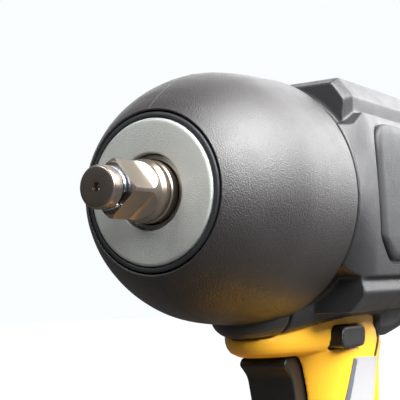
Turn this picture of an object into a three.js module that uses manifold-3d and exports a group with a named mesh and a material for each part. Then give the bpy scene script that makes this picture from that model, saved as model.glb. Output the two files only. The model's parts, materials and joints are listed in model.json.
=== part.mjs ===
// A cordless impact wrench with a half-inch square drive, as an assembly of separate pieces.
// Millimetres, +X towards the anvil, +Y to the tool's left, +Z up. The row's origin is the centre of the
// battery's flat base. Inside the tool group, x = 0 is the nose ring's face and z = 0 is the anvil's axis.
import * as THREE from "three";
import { mergeVertices } from "three/addons/utils/BufferGeometryUtils.js";
import Module from "manifold-3d";

const wasm = await Module();
wasm.setup();

// ---------------------------------------------------------------- driving dimensions

const NOSE_AHEAD = 100; // the nose ring's face is this far ahead of the base's centre
const AXIS_HEIGHT = 212; // the anvil's axis above the base
const GAP = 0.3; // between touching pieces
const ROUND = 24; // segments round the head

const SQUARE = 12.7; // across the drive square's flats
const SQUARE_TURN = THREE.MathUtils.degToRad(39.3); // a flat's normal, from +Y towards +Z
const TIP_X = 24.3;
const TIP_R = 6.2;
const GROOVE_FRONT = 20.2;
const SQUARE_FRONT = 18;
const CORNER_R = 8.5;
const SHANK_R = 9.35;

const RING_R = 22; // the nose ring
const RING_BORE = 11.4;
const RIM_R = 23.8; // the hammer case's front rim
const RIM_BACK = 0.6; // how far the rim stands behind the nose ring's face

// Outer profile of the rubber boot, from its front lip to its rear edge: [x, radius].
const BOOT_PROFILE = [
  [-1, 24.8],
  [-6, 29.3],
  [-11, 32.7],
  [-18, 36.5],
  [-26, 39.3],
  [-37, 40.8],
  [-54.4, 41.9],
];
const BOOT_WALL = 2.9;
const BOOT_REAR = -54.4;
const COLLAR_R = 46.2; // the boot's collar reaches this far below the axis
const COLLAR_MARGIN = 5; // the collar stands out this much round the neck, less at its lower edge
const COLLAR_EDGE_MARGIN = 1;

const CASE_R = 37; // hammer case
const CASE_REAR = -103;
const CASE_BORE = 32.2;
const COVER_BORE = CASE_R + 0.4;
const COVER_FRONT = -56;
const COVER_REAR = -150;
const CAP_FRONT = -183.4;

const DOG_FRONT = -20; // the anvil's two dogs
const DOG_REAR = -33;
const DOG_R = 28.5;
const DOG_ANGLE = 50; // degrees
const HAMMER_FRONT = -34;
const HAMMER_REAR = -68;
const HAMMER_R = 31;
const JAW_LENGTH = 7;
const HAMMER_TRAVEL = 9;
const HAMMER_TURN = 38; // degrees over the whole travel
const CAM_R = 12;
const CAM_BALL_R = 3.5;
const CAM_BALL_X = -51;
const TRACK_R = 4.2; // the ball tracks' own radius
const POCKET_FRONT = -48.5;
const SPRING_R = 22.3; // hammer spring, to the middle of its wire
const SPRING_WIRE = 1.9;

const MODULE = 1.6; // planetary gears
const SUN_TEETH = 9;
const PLANET_TEETH = 12;
const RING_TEETH = SUN_TEETH + 2 * PLANET_TEETH;
const PLANET_ORBIT = (MODULE * (SUN_TEETH + PLANET_TEETH)) / 2;
const PLANET_FRONT = -85.5;
const PLANET_REAR = -96.5;
const CARRIER_FRONT = -81;
const CARRIER_REAR = -101;
const CARRIER_R = 24.3;
const PIN_R = 3;
const SUN_ROOM = 9.2; // bore round the pinion
const TAIL_R = 11.2; // the camshaft's tail, in its bearing

const SHAFT_R = 4; // motor
const SHAFT_REAR = -188;
const STATOR_R = 31.6;
const STATOR_BORE = 17.8;
const STATOR_FRONT = -129;
const STATOR_REAR = -172;
const BARREL_FRONT = -113.5;
const BARREL_STEP = -150.5; // behind the side covers the barrel is as wide as the rear cap
const BARREL_REAR = -183;
const BARREL_REAR_R = 40;
const TAIL_X = -198;

const SHELL_WALL = 3;
const NECK_FRONT = -49.5;
const NECK_MIDDLE = -95;
const NECK_REAR = -132;
const NECK_HALF_WIDTH = 21.5;
const NECK_BOTTOM = -52.8;
const NECK_ROUNDING = 5; // how far the neck's plan draws in at its bottom
const TAIL_FRONT = -112; // the rubber tail behind the neck, over the web of the hand
const TAIL_BOTTOM = -49.4;
const TAIL_HALF_WIDTH = 20.9;
const CORE_REAR = -130; // the yellow web inside that tail, which carries the barrel
const CORE_HALF_WIDTH = 14;

// Handle and foot sections from the neck down: height, middle, half depth, half width, squareness.
const HANDLE_ROWS = [
  { z: -46, x: -98, a: 33, b: 21, n: 2.5 },
  { z: -51, x: -99, a: 33, b: 21.2, n: 2.5 },
  { z: -58, x: -99.5, a: 29, b: 20.8, n: 2.5 },
  { z: -72, x: -101, a: 27, b: 20, n: 2.5 },
  { z: -90, x: -103, a: 24.5, b: 18.9, n: 2.5 },
  { z: -110, x: -105.5, a: 23.5, b: 18.6, n: 2.5 },
  { z: -130, x: -108, a: 24.5, b: 19.6, n: 2.5 },
  { z: -139, x: -108, a: 29, b: 22, n: 2.8 },
  { z: -145, x: -105, a: 44, b: 29, n: 4 },
  { z: -150, x: -103, a: 52, b: 33.6, n: 5 },
  { z: -165, x: -102.5, a: 54.5, b: 34.8, n: 6 },
];
const GRIP_ROWS = HANDLE_ROWS.slice(0, 9);
const HOLLOW_ROWS = HANDLE_ROWS.slice(0, 7);

const TRIGGER_TRAVEL = 8;
const TRIGGER_TOP = -53.4;
const TRIGGER_HALF_WIDTH = 9;
const SWITCH_FRONT = -86;
const SWITCH_REAR = -108.5;

const FOOT_BOTTOM = -165;
const CHANNEL_TOP = -156;
const RAIL_TOP = -160;
const CHANNEL_REAR = -139.5;
const CHANNEL_HALF_WIDTH = 24.4;
const THROAT_HALF_WIDTH = 20.4;
const BLADE_PLACES = [-12, -4, 4, 12];

const BATTERY_LENGTH = 118;
const BATTERY_WIDTH = 76;
const BATTERY_SEAM = -188;
const BATTERY_MIDDLE = -NOSE_AHEAD;
const CELL_R = 9.2;
const CELL_PITCH = 19;

// Bolt places in the handle: x and z of each screw that clamps the two shells.
const HANDLE_SCREWS = [
  [-114.5, -62],
  [-94, -97],
  [-107, -128],
];

// ---------------------------------------------------------------- materials

const RUBBER_GREY = new THREE.MeshStandardMaterial({ color: 0x3c3c3e, roughness: 0.55, metalness: 0 });
const COVER_GREY = new THREE.MeshStandardMaterial({ color: 0x46474a, roughness: 0.5, metalness: 0 });
const YELLOW = new THREE.MeshStandardMaterial({ color: 0xf2b705, roughness: 0.45, metalness: 0 });
const BLACK_PLASTIC = new THREE.MeshStandardMaterial({ color: 0x1b1b1d, roughness: 0.5, metalness: 0 });
const BLACK_RUBBER = new THREE.MeshStandardMaterial({ color: 0x19191a, roughness: 0.75, metalness: 0 });
const BLASTED_STEEL = new THREE.MeshStandardMaterial({ color: 0x8f928f, roughness: 0.5, metalness: 0.9 });
const WARM_STEEL = new THREE.MeshStandardMaterial({ color: 0x77705f, roughness: 0.3, metalness: 1 });
const BLUED_STEEL = new THREE.MeshStandardMaterial({ color: 0x8793a6, roughness: 0.25, metalness: 1 });
const GEAR_STEEL = new THREE.MeshStandardMaterial({ color: 0x6d6f72, roughness: 0.4, metalness: 1 });
const BEARING_STEEL = new THREE.MeshStandardMaterial({ color: 0xa9abad, roughness: 0.2, metalness: 1 });
const CASE_ALUMINIUM = new THREE.MeshStandardMaterial({ color: 0x2c2d2f, roughness: 0.5, metalness: 0.6 });
const BRONZE = new THREE.MeshStandardMaterial({ color: 0x9a8a6c, roughness: 0.4, metalness: 1 });
const LAMINATION = new THREE.MeshStandardMaterial({ color: 0x5a5c60, roughness: 0.5, metalness: 0.8 });
const BOARD_GREEN = new THREE.MeshStandardMaterial({ color: 0x1f5a34, roughness: 0.5, metalness: 0 });
const LENS_CLEAR = new THREE.MeshStandardMaterial({ color: 0xdfe6ea, roughness: 0.1, metalness: 0 });
const SCREW_BLACK = new THREE.MeshStandardMaterial({ color: 0x2a2a2c, roughness: 0.4, metalness: 0.9 });
const CELL_WRAP = new THREE.MeshStandardMaterial({ color: 0x2f6f8f, roughness: 0.5, metalness: 0 });

// ---------------------------------------------------------------- solids and booleans

// A closed three.js geometry as a solid that can be joined and cut.
function solid(geometry) {
  const bare = geometry.clone();
  bare.deleteAttribute("normal");
  bare.deleteAttribute("uv");
  const merged = mergeVertices(bare, 1e-3);
  return new wasm.Manifold(
    new wasm.Mesh({
      numProp: 3,
      vertProperties: merged.attributes.position.array,
      triVerts: new Uint32Array(merged.index.array),
    }),
  );
}

function join(first, ...others) {
  return others.reduce((whole, piece) => whole.add(piece), first);
}

function cut(first, ...others) {
  return others.reduce((whole, piece) => whole.subtract(piece), first);
}

// A solid back as a three.js geometry.
function geometryOf(body) {
  const mesh = body.getMesh();
  const geometry = new THREE.BufferGeometry();
  geometry.setAttribute("position", new THREE.BufferAttribute(mesh.vertProperties, 3));
  geometry.setIndex(new THREE.BufferAttribute(mesh.triVerts, 1));
  geometry.computeVertexNormals();
  return geometry;
}

// ---------------------------------------------------------------- shapes

function vectors(points) {
  return points.map(([x, y]) => new THREE.Vector2(x, y));
}

// A turned piece about the X axis: a closed profile of [x, radius] points.
function turned(profile, segments = ROUND) {
  const points = vectors(profile.map(([x, r]) => [r, x]));
  if (THREE.ShapeUtils.isClockWise(points)) points.reverse();
  const onAxis = points.findIndex((p) => p.x === 0);
  const ordered = onAxis < 0 ? [...points, points[0].clone()] : openOnAxis(points);
  const geometry = new THREE.LatheGeometry(ordered, segments);
  geometry.rotateZ(-Math.PI / 2);
  return geometry;
}

// Starts a profile that touches the axis at its first axis point, so it also ends on the axis.
function openOnAxis(points) {
  const count = points.length;
  const start = points.findIndex((p, i) => p.x === 0 && points[(i + count - 1) % count].x === 0);
  return [...points.slice(start), ...points.slice(0, start)];
}

// A turned tube between two places and two radii.
function tube(front, rear, inner, outer, segments = ROUND) {
  const profile = [
    [front, inner],
    [front, outer],
    [rear, outer],
    [rear, inner],
  ];
  return turned(profile, segments);
}

function rod(front, rear, radius, segments = ROUND) {
  return tube(front, rear, 0, radius, segments);
}

const ALONG_X = new THREE.Matrix4().makeBasis(
  new THREE.Vector3(0, 1, 0),
  new THREE.Vector3(0, 0, 1),
  new THREE.Vector3(1, 0, 0),
);
const ALONG_Y = new THREE.Matrix4().makeBasis(
  new THREE.Vector3(1, 0, 0),
  new THREE.Vector3(0, 0, 1),
  new THREE.Vector3(0, -1, 0),
);

function extruded(shape, length, curveSegments) {
  return new THREE.ExtrudeGeometry(shape, { depth: length, bevelEnabled: false, curveSegments });
}

// A shape drawn in (y, z), extruded from rear to front along X.
function alongX(shape, rear, front, curveSegments = 8) {
  return extruded(shape, front - rear, curveSegments).applyMatrix4(ALONG_X).translate(rear, 0, 0);
}

// A shape drawn in (x, z), extruded from right to left along Y.
function alongY(shape, right, left, curveSegments = 8) {
  return extruded(shape, left - right, curveSegments).applyMatrix4(ALONG_Y).translate(0, left, 0);
}

// A shape drawn in (x, y), extruded upwards.
function alongZ(shape, bottom, top, curveSegments = 8) {
  return extruded(shape, top - bottom, curveSegments).translate(0, 0, bottom);
}

function box(x0, x1, y0, y1, z0, z1) {
  const geometry = new THREE.BoxGeometry(x1 - x0, y1 - y0, z1 - z0);
  return geometry.translate((x0 + x1) / 2, (y0 + y1) / 2, (z0 + z1) / 2);
}

function roundedRectangle(x0, x1, y0, y1, r) {
  const shape = new THREE.Shape();
  shape.absarc(x1 - r, y0 + r, r, -Math.PI / 2, 0);
  shape.absarc(x1 - r, y1 - r, r, 0, Math.PI / 2);
  shape.absarc(x0 + r, y1 - r, r, Math.PI / 2, Math.PI);
  shape.absarc(x0 + r, y0 + r, r, Math.PI, 1.5 * Math.PI);
  return shape;
}

// A sector of a ring in (y, z), centred on an angle from +Y towards +Z; all angles in degrees.
function ringSector(inner, outer, middle, width) {
  const from = THREE.MathUtils.degToRad(middle - width / 2);
  const to = THREE.MathUtils.degToRad(middle + width / 2);
  const shape = new THREE.Shape();
  shape.absarc(0, 0, outer, from, to, false);
  shape.absarc(0, 0, inner, to, from, true);
  return shape;
}

// A stack of superellipse sections, from the lowest to the highest, closed by flat ends.
function stacked(rows, grow = 0, around = 24) {
  const sorted = [...rows].sort((low, high) => low.z - high.z);
  const geometry = new THREE.CylinderGeometry(1, 1, sorted.length - 1, around, sorted.length - 1);
  geometry.rotateX(Math.PI / 2);
  const position = geometry.attributes.position;
  for (let i = 0; i < position.count; i++) {
    const row = sorted[Math.round(position.getZ(i) + (sorted.length - 1) / 2)];
    const cos = position.getX(i);
    const sin = position.getY(i);
    const x = Math.sign(cos) * Math.abs(cos) ** (2 / row.n) * (row.a + grow);
    const y = Math.sign(sin) * Math.abs(sin) ** (2 / row.n) * (row.b + grow);
    position.setXYZ(i, row.x + x, y, row.z);
  }
  return geometry;
}

// A round wire along a helix about the X axis.
class Helix extends THREE.Curve {
  constructor(start, end, radius, turns, phase = 0) {
    super();
    Object.assign(this, { start, end, radius, turns, phase });
  }

  getPoint(t, target = new THREE.Vector3()) {
    const angle = this.phase + 2 * Math.PI * this.turns * t;
    const x = this.start + (this.end - this.start) * t;
    return target.set(x, this.radius * Math.cos(angle), this.radius * Math.sin(angle));
  }
}

function wire(curve, radius, steps, sides) {
  const section = new THREE.Shape().absarc(0, 0, radius, 0, 2 * Math.PI);
  return new THREE.ExtrudeGeometry(section, {
    extrudePath: curve,
    steps,
    curveSegments: sides / 2,
    bevelEnabled: false,
  });
}

// ---------------------------------------------------------------- gears

// A gear's outline in (y, z), with straight flanks. On a ring gear the teeth point inwards.
function gearOutline(teeth, phase, { inside = false, slack = 0.84 } = {}) {
  const pitch = (MODULE * teeth) / 2;
  const outward = inside ? -1 : 1;
  const tip = pitch + outward * 0.85 * MODULE;
  const root = pitch - outward * 1.2 * MODULE;
  const half = (Math.PI * MODULE * slack) / 4;
  const slope = Math.tan(THREE.MathUtils.degToRad(20));
  const corners = [
    [root, half + 0.4 * MODULE * slope],
    [tip, half - 0.85 * MODULE * slope],
  ];
  const points = [];
  for (let tooth = 0; tooth < teeth; tooth++) {
    const middle = phase + (2 * Math.PI * tooth) / teeth;
    for (const [r, width] of corners) points.push(polar(r, middle - width / r));
    for (const [r, width] of [...corners].reverse()) points.push(polar(r, middle + width / r));
  }
  return points;
}

function polar(r, angle) {
  return new THREE.Vector2(r * Math.cos(angle), r * Math.sin(angle));
}

function circleHole(r, segments = 16) {
  const path = new THREE.Path();
  path.setFromPoints(new THREE.Path().absarc(0, 0, r, 0, 2 * Math.PI).getPoints(segments));
  return path;
}

function planetAngle(index) {
  return Math.PI / 2 + (2 * Math.PI * index) / 3;
}

// ---------------------------------------------------------------- the group and its pieces

const wrench = new THREE.Group();
const tool = new THREE.Group();
tool.position.set(NOSE_AHEAD, 0, AXIS_HEIGHT);
wrench.add(tool);

function piece(name, shape, material) {
  const geometry = shape.isBufferGeometry ? shape : geometryOf(shape);
  const mesh = new THREE.Mesh(geometry, material);
  mesh.name = name;
  tool.add(mesh);
  return mesh;
}

// A left piece and its mirror image on the right.
function pair(leftName, rightName, shape, material) {
  const left = piece(leftName, shape, material);
  const right = piece(rightName, left.geometry, material);
  right.scale.y = -1;
}

// ---------------------------------------------------------------- nose and anvil

function noseRing() {
  const profile = [
    [-2.6, RING_BORE],
    [0, RING_BORE],
    [0, RING_R - 1],
    [-1, RING_R],
    [-2.6, RING_R],
  ];
  return turned(profile, 36);
}

function anvilBushing() {
  const bore = SHANK_R + GAP;
  return turned([
    [-1.5, bore],
    [-1.5, RING_BORE - GAP],
    [-3.2, RING_BORE - GAP],
    [-3.2, 13],
    [-19, 13],
    [-19, bore],
  ]);
}

// A cutter that leaves one flat of the drive square, with a curved run-out into the shank.
function flatCutter(turn) {
  const flat = SQUARE / 2;
  const runOut = 5;
  const shape = new THREE.Shape();
  shape.moveTo(TIP_X, flat);
  shape.lineTo(TIP_X, flat + 8);
  shape.lineTo(GROOVE_FRONT - 15, flat + 8);
  shape.lineTo(GROOVE_FRONT - 15, flat + runOut);
  shape.absarc(GROOVE_FRONT - 15 + runOut, flat + runOut, runOut, Math.PI, 1.5 * Math.PI, false);
  return alongY(shape, -12, 12, 5).rotateX(turn - Math.PI / 2);
}

function driveEnd() {
  const blank = turned([
    [TIP_X, 0],
    [TIP_X, 5.8],
    [TIP_X - 0.5, TIP_R],
    [GROOVE_FRONT, TIP_R],
    [GROOVE_FRONT, 4.3],
    [SQUARE_FRONT, 4.3],
    [SQUARE_FRONT, 7.6],
    [SQUARE_FRONT - 0.8, CORNER_R],
    [5.6, CORNER_R],
    [4.4, SHANK_R],
    [DOG_FRONT - 1, SHANK_R],
    [DOG_FRONT - 1, 0],
  ]);
  const flats = [0, 1, 2, 3].map((k) => solid(flatCutter(SQUARE_TURN + (k * Math.PI) / 2)));
  return cut(solid(blank), ...flats, solid(rod(TIP_X + 1, TIP_X - 2.2, 1.1, 16)));
}

function anvil() {
  const hub = solid(rod(DOG_FRONT, DOG_REAR, 15));
  const dogs = [90, 270].map((angle) => {
    const sector = ringSector(13, DOG_R, angle, DOG_ANGLE);
    return solid(alongX(sector, DOG_REAR, DOG_FRONT, 6));
  });
  const pilotBore = solid(rod(DOG_FRONT - 0.5, DOG_REAR - 1, 6.4, 24));
  return cut(join(driveEnd(), hub, ...dogs), pilotBore);
}

function hogRing() {
  const opening = 40;
  const sector = ringSector(5.2, 6.35, -35 + 180, 360 - opening);
  return alongX(sector, SQUARE_FRONT + GAP, GROOVE_FRONT - GAP, 12);
}

function hogRingORing() {
  return tube(GROOVE_FRONT - 0.5, SQUARE_FRONT + 0.5, 4.4, 5.05, 24);
}

function hammerCase() {
  const rear = CASE_REAR;
  const outside = BOOT_PROFILE.slice(1, 5).map(([x, r]) => [x, r - BOOT_WALL - GAP]);
  return turned([
    [-RIM_BACK, RING_R + GAP],
    [-RIM_BACK, RIM_R],
    [-3.8, RIM_R],
    ...outside,
    [-34, CASE_R],
    [rear, CASE_R],
    [rear, 33.6],
    [-83.5, 33.6],
    [-83.5, CASE_BORE],
    [-32.5, CASE_BORE],
    [-27, DOG_R + 0.8],
    [DOG_FRONT + 0.6, DOG_R + 0.8],
    [DOG_FRONT + 0.6, 13 + GAP],
    [-2.9, 13 + GAP],
    [-2.9, RING_R + GAP],
  ]);
}

// The plan of the neck that joins the head to the handle, grown by a margin.
function neckPlan(grow = 0) {
  const half = NECK_HALF_WIDTH + grow;
  const shape = new THREE.Shape();
  shape.absellipse(NECK_MIDDLE, 0, NECK_FRONT - NECK_MIDDLE + grow, half, -Math.PI / 2, Math.PI / 2);
  shape.absellipse(NECK_MIDDLE, 0, NECK_MIDDLE - NECK_REAR + grow, half, Math.PI / 2, 1.5 * Math.PI);
  return shape;
}

// The rubber collar round the top of the neck: it draws in towards its lower edge.
function collar() {
  const upper = solid(alongZ(neckPlan(COLLAR_MARGIN), -60, -20)).intersect(solid(rod(0, -140, COLLAR_R - 3)));
  const lower = solid(alongZ(neckPlan(COLLAR_EDGE_MARGIN), -60, -20)).intersect(solid(rod(0, -140, COLLAR_R)));
  return wasm.Manifold.hull([upper, lower]);
}

function noseBoot() {
  const lip = RIM_R + GAP;
  const inside = BOOT_PROFILE.slice(1, 5).map(([x, r]) => [x, r - BOOT_WALL]);
  const skin = turned(
    [
      [-1, lip],
      ...BOOT_PROFILE,
      [BOOT_REAR, CASE_R + GAP],
      [-34, CASE_R + GAP],
      ...inside.reverse(),
      [-3.5, lip],
    ],
    36,
  );
  const front = solid(box(BOOT_REAR, 0, -60, 60, -60, -20));
  const caseRoom = solid(rod(0, -60, CASE_R + GAP));
  return join(solid(skin), cut(collar().intersect(front), caseRoom));
}

// ---------------------------------------------------------------- hammer and gears

// Two helical ball tracks on opposite sides of the X axis, from just before the balls' rest places.
// reach is how far a track runs along X, and turn how far it turns meanwhile, in degrees.
function ballTracks(reach, turn) {
  const turnsPerLength = turn / 360 / Math.abs(reach);
  return [0, Math.PI].map((start) => {
    const phase = start - 2 * Math.PI * turnsPerLength * TRACK_R;
    const from = CAM_BALL_X - Math.sign(reach) * TRACK_R;
    const turns = turnsPerLength * (Math.abs(reach) + TRACK_R);
    return solid(wire(new Helix(from, CAM_BALL_X + reach, CAM_R + 1, turns, phase), TRACK_R, 4, 6));
  });
}

function hammer() {
  const chamfer = 1.2;
  const body = solid(
    turned([
      [HAMMER_FRONT, CAM_R + 0.4],
      [HAMMER_FRONT, HAMMER_R - chamfer],
      [HAMMER_FRONT - chamfer, HAMMER_R],
      [HAMMER_REAR + chamfer, HAMMER_R],
      [HAMMER_REAR, HAMMER_R - chamfer],
      [HAMMER_REAR, 26.5],
      [POCKET_FRONT, 26.5],
      [POCKET_FRONT, 19.2],
      [HAMMER_REAR, 19.2],
      [HAMMER_REAR, CAM_R + 0.4],
    ]),
  );
  // At rest each jaw stands against a dog's driving face, with a degree of clearance.
  const jaws = [90, 270].map((angle) => {
    const sector = ringSector(16, DOG_R, angle + DOG_ANGLE + 1, DOG_ANGLE);
    return solid(alongX(sector, HAMMER_FRONT - 1, HAMMER_FRONT + JAW_LENGTH, 6));
  });
  const overrun = 1 + TRACK_R / HAMMER_TRAVEL;
  const tracks = ballTracks(HAMMER_TRAVEL * overrun, -HAMMER_TURN * overrun);
  return cut(join(body, ...jaws), ...tracks);
}

function camBall(side) {
  return new THREE.SphereGeometry(CAM_BALL_R, 10, 6).translate(CAM_BALL_X, side * (CAM_R + 1), 0);
}

function camshaft() {
  const shaft = solid(
    turned([
      [-21.5, 0],
      [-21.5, 6],
      [-34.6, 6],
      [-34.6, CAM_R],
      [CARRIER_FRONT, CAM_R],
      [CARRIER_FRONT, CARRIER_R],
      [CARRIER_REAR, CARRIER_R],
      [CARRIER_REAR, TAIL_R],
      [CARRIER_REAR - 6, TAIL_R],
      [CARRIER_REAR - 6, SUN_ROOM],
      [PLANET_FRONT + 1.5, SUN_ROOM],
      [PLANET_FRONT + 1.5, 0],
    ]),
  );
  const pockets = [];
  for (let i = 0; i < 3; i++) {
    const y = PLANET_ORBIT * Math.cos(planetAngle(i));
    const z = PLANET_ORBIT * Math.sin(planetAngle(i));
    pockets.push(solid(rod(PLANET_FRONT + 0.5, PLANET_REAR - 0.5, 11.4, 24).translate(0, y, z)));
    pockets.push(solid(rod(CARRIER_FRONT - 1, CARRIER_REAR - 1, PIN_R + GAP, 12).translate(0, y, z)));
  }
  return cut(shaft, ...pockets, ...ballTracks(-HAMMER_TRAVEL / 2, HAMMER_TURN / 2));
}

function hammerSpring() {
  const front = POCKET_FRONT - 2.1 - GAP - SPRING_WIRE;
  const rear = CARRIER_FRONT + GAP + SPRING_WIRE;
  return wire(new Helix(front, rear, SPRING_R, 3.5), SPRING_WIRE, 42, 6);
}

function gear(outline, bore, rear, front) {
  const shape = new THREE.Shape(outline);
  if (bore) shape.holes.push(circleHole(bore));
  return alongX(shape, rear, front);
}

function planet(index) {
  const orbit = planetAngle(index);
  // The planet's tooth space faces the sun's tooth on the line between them.
  const phase = orbit + Math.PI + Math.PI / PLANET_TEETH;
  const y = PLANET_ORBIT * Math.cos(orbit);
  const z = PLANET_ORBIT * Math.sin(orbit);
  return gear(gearOutline(PLANET_TEETH, phase), PIN_R + GAP, PLANET_REAR, PLANET_FRONT).translate(0, y, z);
}

function planetPin(index) {
  const y = PLANET_ORBIT * Math.cos(planetAngle(index));
  const z = PLANET_ORBIT * Math.sin(planetAngle(index));
  return rod(CARRIER_FRONT - 1.4, CARRIER_REAR + 0.4, PIN_R, 10).translate(0, y, z);
}

function ringGear() {
  const shape = new THREE.Shape().absarc(0, 0, 33.2, 0, 2 * Math.PI);
  // Each planet has a tooth space on the far side of its pin, and the ring has a tooth there.
  shape.holes.push(new THREE.Path(gearOutline(RING_TEETH, planetAngle(0), { inside: true })));
  return alongX(shape, PLANET_REAR - 1, PLANET_FRONT + 1, 18);
}

function gearcasePlate() {
  return turned([
    [CASE_REAR - 0.4, 15.8],
    [CASE_REAR - 4.4, 15.8],
    [CASE_REAR - 4.4, 8.7],
    [-108.2, 8.7],
    [-108.2, 9.8],
    [-113, 9.8],
    [-113, 13],
    [-109.4, 16],
    [-109.4, 36.8],
    [CASE_REAR - 0.4, 36.8],
  ]);
}

// ---------------------------------------------------------------- motor

function rotorShaft() {
  const pinion = solid(gear(gearOutline(SUN_TEETH, planetAngle(0)), 0, -98.5, -84.8));
  return join(pinion, solid(rod(-90, SHAFT_REAR, SHAFT_R, 24)));
}

function coolingFan() {
  const hub = solid(tube(-117, -127, SHAFT_R + GAP, 9, 24));
  const disc = solid(tube(-125, -127, 8, 28));
  const blades = [];
  const count = 11;
  for (let i = 0; i < count; i++) {
    const blade = box(-125.5, -117, 7.5, 27, -0.8, 0.8).rotateX((2 * Math.PI * i) / count);
    blades.push(solid(blade));
  }
  return join(hub, disc, ...blades);
}

function stator() {
  const slots = 6;
  const yoke = STATOR_R - 4.5;
  const points = [];
  for (let i = 0; i < slots; i++) {
    const middle = (2 * Math.PI * i) / slots;
    points.push(polar(STATOR_BORE, middle - 0.46));
    points.push(polar(STATOR_BORE, middle - 0.23));
    points.push(polar(STATOR_BORE, middle));
    points.push(polar(STATOR_BORE, middle + 0.23));
    points.push(polar(STATOR_BORE, middle + 0.46));
    points.push(polar(STATOR_BORE + 2.2, middle + 0.42));
    points.push(polar(STATOR_BORE + 3, middle + 0.2));
    points.push(polar(yoke, middle + 0.14));
    points.push(polar(yoke, middle + 0.52));
    points.push(polar(yoke, middle + 2 * Math.PI / slots - 0.14));
    points.push(polar(STATOR_BORE + 3, middle + 2 * Math.PI / slots - 0.2));
    points.push(polar(STATOR_BORE + 2.2, middle + 2 * Math.PI / slots - 0.42));
  }
  const shape = new THREE.Shape().absarc(0, 0, STATOR_R, 0, 2 * Math.PI);
  shape.holes.push(new THREE.Path(points));
  return alongX(shape, STATOR_REAR, STATOR_FRONT, 18);
}

function rearCap() {
  const wall = 3;
  const cup = solid(
    turned([
      [TAIL_X, 0],
      [TAIL_X, 30],
      [TAIL_X + 7, 38.5],
      [CAP_FRONT, 40],
      [CAP_FRONT, 40 - wall],
      [TAIL_X + 8, 38.5 - wall],
      [TAIL_X + wall, 29],
      [TAIL_X + wall, 13],
      [-179.5, 13],
      [-179.5, 9.8],
      [-189, 9.8],
      [-189, 0],
    ]),
  );
  const slots = [];
  for (const side of [-1, 1]) {
    for (let i = 0; i < 4; i++) {
      const z = -12 + 8 * i;
      slots.push(solid(box(TAIL_X - 1, TAIL_X + 9, side * 20 - 6, side * 20 + 6, z - 1.6, z + 1.6)));
    }
  }
  const bosses = screwCorners().map(([y, z]) => solid(rod(CAP_FRONT, TAIL_X + 2.5, 4, 8).translate(0, y, z)));
  const holes = screwCorners().map(([y, z]) => {
    const shank = solid(rod(-180, TAIL_X - 1, 2, 6).translate(0, y, z));
    return shank.add(solid(rod(TAIL_X + 5, TAIL_X - 1, 3.8, 8).translate(0, y, z)));
  });
  return cut(join(cup, ...bosses), ...slots, ...holes);
}

// Centres of the four rear cap screws in (y, z).
function screwCorners() {
  return [60, 120, 240, 300].map((angle) => {
    const place = polar(25, THREE.MathUtils.degToRad(angle));
    return [place.x, place.y];
  });
}

// ---------------------------------------------------------------- housing

// The half-space of a left piece.
function leftHalf() {
  return solid(box(-260, 60, GAP / 2, 80, -260, 80));
}

function neck() {
  const upper = solid(alongZ(neckPlan(), NECK_BOTTOM + NECK_ROUNDING, -20));
  const lower = solid(alongZ(neckPlan(-NECK_ROUNDING), NECK_BOTTOM, -20));
  const block = wasm.Manifold.hull([upper, lower]);
  const bootRoom = solid(rod(10, BOOT_REAR - 0.4, COLLAR_R + GAP));
  const caseRoom = solid(rod(10, BARREL_FRONT, COVER_BORE));
  return cut(block, bootRoom, caseRoom);
}

// The rubber tail's side view, grown by a margin at its front and bottom.
function tailRoom(grow) {
  const shape = new THREE.Shape(
    vectors([
      [TAIL_FRONT + grow, -20],
      [TAIL_FRONT + grow, TAIL_BOTTOM - grow],
      [TAIL_FRONT - 12, TAIL_BOTTOM - grow],
      [TAIL_FRONT - 24, TAIL_BOTTOM + 2 - grow],
      [COVER_REAR, TAIL_BOTTOM + 6 - grow],
      [COVER_REAR, -20],
    ]),
  );
  return shape;
}

// The tail itself, with its lower edges drawn in, and the space for the yellow web inside it.
function tail() {
  const inset = 3;
  const wide = solid(alongY(tailRoom(-inset), -TAIL_HALF_WIDTH, TAIL_HALF_WIDTH));
  const narrow = solid(alongY(tailRoom(0), inset - TAIL_HALF_WIDTH, TAIL_HALF_WIDTH - inset));
  return wasm.Manifold.hull([wide, narrow]);
}

function webRoom(grow) {
  const half = CORE_HALF_WIDTH + grow;
  return solid(box(CORE_REAR - grow, TAIL_FRONT + 10, -half, half, -80, -20));
}

function handle() {
  return solid(stacked(HANDLE_ROWS));
}

function handleHollow() {
  const rows = HOLLOW_ROWS.map((row) => ({ ...row, a: row.a - SHELL_WALL, b: row.b - SHELL_WALL }));
  const throat = box(-116, -80, -17, 17, -60, -20);
  return join(solid(stacked(rows, 0, 16)), solid(throat));
}

// The battery channel under the foot, a T-slot that is open at the front.
function channel() {
  const wide = box(CHANNEL_REAR, -30, -CHANNEL_HALF_WIDTH, CHANNEL_HALF_WIDTH, RAIL_TOP, CHANNEL_TOP);
  const throat = box(CHANNEL_REAR, -30, -THROAT_HALF_WIDTH, THROAT_HALF_WIDTH, -170, CHANNEL_TOP);
  return join(solid(wide), solid(throat));
}

function footRooms() {
  return [
    solid(box(-148, -78, -27, 27, -153.5, -147.5)),
    solid(box(-112, -96, -10, 10, -150, -125)),
    solid(box(-150.4, -139, -17.4, 17.4, -163.5, -149)),
    solid(box(-62, -40, -9.4, 9.4, -155.6, -148.6)),
    solid(box(-75.4, -64.6, -5.4, 5.4, -152, -130)),
  ];
}

function triggerRoom() {
  const half = TRIGGER_HALF_WIDTH + 0.4;
  return solid(box(SWITCH_FRONT, -40, -half, half, -76.8, TRIGGER_TOP + 0.4));
}

// The direction button's pad, a rounded block across the neck.
function directionPad(grow, right, left) {
  const outline = roundedRectangle(-95.5 - grow, -76 + grow, -51.2 - grow, -43.7 + grow, 3);
  return solid(alongY(outline, right, left, 3));
}

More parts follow.
